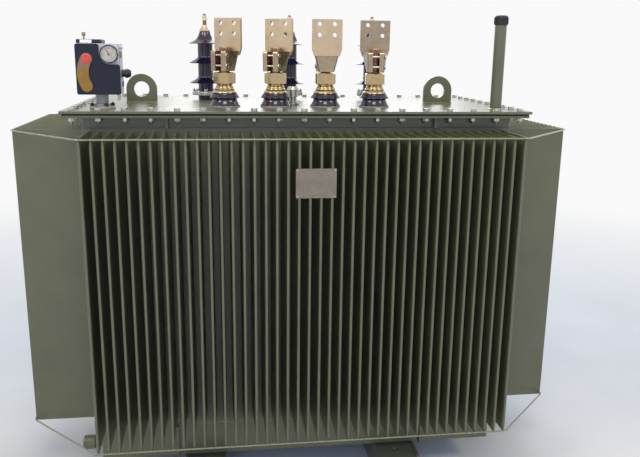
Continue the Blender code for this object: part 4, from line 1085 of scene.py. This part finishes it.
def build_drain():
    """A short drain pipe on a weld bead, closed with a ribbed and bevelled cap."""
    low, high = corners_of("drain_valve")
    centre = middle("drain_valve")
    out = Matrix.Translation((high.x, centre.y, centre.z)) @ Matrix.Rotation(-QUARTER, 4, "Y")
    long = high.x - low.x
    pipe = mm((23.5, 0.0), (22.5, 2.5), (19.5, 5.0), (19.0, 7.0))
    cap = mm((19.0, -48.0), (28.0, -48.0), (29.0, -47.0), (29.0, -12.0), (28.2, -11.0),
             (28.2, -8.0), (29.0, -7.0), (28.5, -4.5), (23.5, 0.0), up=long)
    bm = lathe(pipe + cap, 40)
    bm.transform(out)
    rib = soften(block((0.0275, -0.0016, long - 0.044), (0.0294, 0.0016, long - 0.014)), 0.0006, 1)
    add_round(bm, rib, 20, out)
    finish_piece("drain_fitting", bm, ("olive_enamel",), "body_paint", "drain_valve")


# Stage

CAMERA_PLACE = (-0.3274, -3.2316, 1.7827)
CAMERA_TURN = -7.944        # degrees, as its pitch and roll
CAMERA_PITCH = -13.76
CAMERA_ROLL = 0.763
FOCAL_PIXELS = 739.99       # its focal length in pixels of the photo
PHOTO_WIDTH = 640
SENSOR = 36.0               # mm


def build_stage():
    """A pale floor, soft lamps, a white surround for the eye and for mirrors, and the camera."""
    floor = bmesh.new()
    bmesh.ops.create_grid(floor, x_segments=1, y_segments=1, size=30.0)
    mesh = to_mesh(floor, "floor")
    mesh.materials.append(finish("pale_floor"))
    place_object("floor", mesh)
    build_surround()
    lamp("left", (-4.0, -3.0, 4.9), (0.0, 0.0, 0.8), 1.8, 114.0, "FFEAC4")
    lamp("right", (4.2, -2.8, 4.7), (0.0, 0.0, 0.8), 1.8, 90.0, "FFEAC4")
    lamp("front", (-0.3, -3.4, 5.2), (0.0, 0.0, 0.9), 1.8, 80.0, "FFEFD2")
    # Blue light from in front tints the enamel. It stays out of what the metals mirror.
    lamp("sky", (-0.4, -5.8, 2.2), (0.0, 0.0, 0.9), 3.6, 84.0, "B6C8FF").visible_glossy = False
    lamp("back", (0.6, 4.2, 3.8), (0.0, 0.0, 1.2), 3.2, 100.0, "FFFFFF")
    bpy.context.scene.view_settings.view_transform = "Standard"
    data = bpy.data.cameras.new("camera")
    data.sensor_width = SENSOR
    data.lens = FOCAL_PIXELS / PHOTO_WIDTH * SENSOR
    camera = place_object("camera", data)
    camera.matrix_world = Matrix.Translation(CAMERA_PLACE) @ \
        Matrix.Rotation(math.radians(CAMERA_TURN), 4, "Z") @ \
        Matrix.Rotation(math.radians(90.0 + CAMERA_PITCH), 4, "X") @ \
        Matrix.Rotation(math.radians(CAMERA_ROLL), 4, "Z")
    bpy.context.scene.camera = camera


def build_surround():
    """Soft light from all round; the eye, and whatever mirrors or bends its rays, sees white."""
    world = bpy.data.worlds.new("surround")
    bpy.context.scene.world = world
    world.use_nodes = True
    tree = world.node_tree
    tree.nodes.clear()
    soft, white = [add_node(tree, "Background", {"Color": tone, "Strength": strength}).outputs[0]
                   for tone, strength in (((0.58, 0.72, 1.0, 1.0), 0.62), (WHITE, SURROUND))]
    both = add_node(tree, "MixShader", {0: white_rays(tree), 1: soft, 2: white}).outputs[0]
    add_node(tree, "OutputWorld", {"Surface": both})


def lamp(name, place, target, size, power, hex_colour):
    """A square soft box that looks at a target."""
    data = bpy.data.lights.new(name, "AREA")
    data.size = size
    data.energy = power
    data.color = linear(hex_colour)
    obj = place_object(name, data)
    away = Vector(place) - Vector(target)
    obj.matrix_world = Matrix.Translation(place) @ away.to_track_quat("Z", "Y").to_matrix().to_4x4()
    return obj


# Operators, panel and registration

class TransformerStage(Operator):
    """Set the floor, the lamps, the surround and the camera"""
    bl_idname = "transformer.stage"
    bl_label = "Stage"

    def execute(self, context):
        build_stage()
        return {"FINISHED"}


class TransformerWalls(Operator):
    """Build the corrugated walls and the rods along their fin tips"""
    bl_idname = "transformer.walls"
    bl_label = "Corrugated walls"

    def execute(self, context):
        build_walls(context.scene.transformer_tank)
        build_rods(context.scene.transformer_tank)
        return {"FINISHED"}


class TransformerPlates(Operator):
    """Build the bands, flange, cover, skids, lugs and weld beads"""
    bl_idname = "transformer.plates"
    bl_label = "Plates and welds"

    def execute(self, context):
        build_plates(context.scene.transformer_tank)
        build_welds(context.scene.transformer_tank)
        return {"FINISHED"}


class TransformerCoverBolts(Operator):
    """Build the bolts of the cover joint"""
    bl_idname = "transformer.cover_bolts"
    bl_label = "Cover bolts"

    def execute(self, context):
        build_cover_bolts(context.scene.transformer_cover)
        return {"FINISHED"}


class TransformerLowVoltage(Operator):
    """Build the four low-voltage bushings with their flags"""
    bl_idname = "transformer.low_voltage"
    bl_label = "Low-voltage bushings"

    def execute(self, context):
        build_lv_bushings(context.scene.transformer_bushings)
        return {"FINISHED"}


class TransformerHighVoltage(Operator):
    """Build the three high-voltage bushings"""
    bl_idname = "transformer.high_voltage"
    bl_label = "High-voltage bushings"

    def execute(self, context):
        build_hv_bushings(context.scene.transformer_bushings)
        return {"FINISHED"}


class TransformerRelay(Operator):
    """Build the protection relay"""
    bl_idname = "transformer.relay"
    bl_label = "Protection relay"

    def execute(self, context):
        build_relay_neck()
        build_relay_box()
        build_relay_window()
        build_relay_dial()
        build_relay_lid()
        build_relay_gland()
        return {"FINISHED"}


class TransformerFittings(Operator):
    """Build the filling pipe, tap-changer head, rating plate and drain"""
    bl_idname = "transformer.fittings"
    bl_label = "Fittings"

    def execute(self, context):
        build_fill_pipe()
        build_tap_head()
        build_rating_plate()
        build_drain()
        return {"FINISHED"}


class TransformerPanel(Panel):
    """Lists the pieces and their settings"""
    bl_idname = "VIEW3D_PT_transformer"
    bl_label = "Transformer"
    bl_space_type = "VIEW_3D"
    bl_region_type = "UI"
    bl_category = "Transformer"

    def draw(self, context):
        for operator in OPERATORS:
            self.layout.operator(operator.bl_idname)
        for name in SETTINGS:
            box = self.layout.box()
            group = getattr(context.scene, name)
            for item in group.__annotations__:
                box.prop(group, item)


OPERATORS = (TransformerStage, TransformerWalls, TransformerPlates, TransformerCoverBolts,
             TransformerLowVoltage, TransformerHighVoltage, TransformerRelay, TransformerFittings)
SETTINGS = {"transformer_colours": TransformerColours, "transformer_tank": TankSizes,
            "transformer_cover": CoverSizes, "transformer_bushings": BushingSizes}
CLASSES = tuple(SETTINGS.values()) + OPERATORS + (TransformerPanel,)


def register():
    for item in CLASSES:
        bpy.utils.register_class(item)
    for name, group in SETTINGS.items():
        setattr(bpy.types.Scene, name, PointerProperty(type=group))


def unregister():
    for name in SETTINGS:
        delattr(bpy.types.Scene, name)
    for item in reversed(CLASSES):
        bpy.utils.unregister_class(item)


def main():
    register()
    bpy.ops.transformer.stage()
    bpy.ops.transformer.walls()
    bpy.ops.transformer.plates()
    bpy.ops.transformer.cover_bolts()
    bpy.ops.transformer.low_voltage()
    bpy.ops.transformer.high_voltage()
    bpy.ops.transformer.relay()
    bpy.ops.transformer.fittings()


if __name__ == "__main__":
    main()
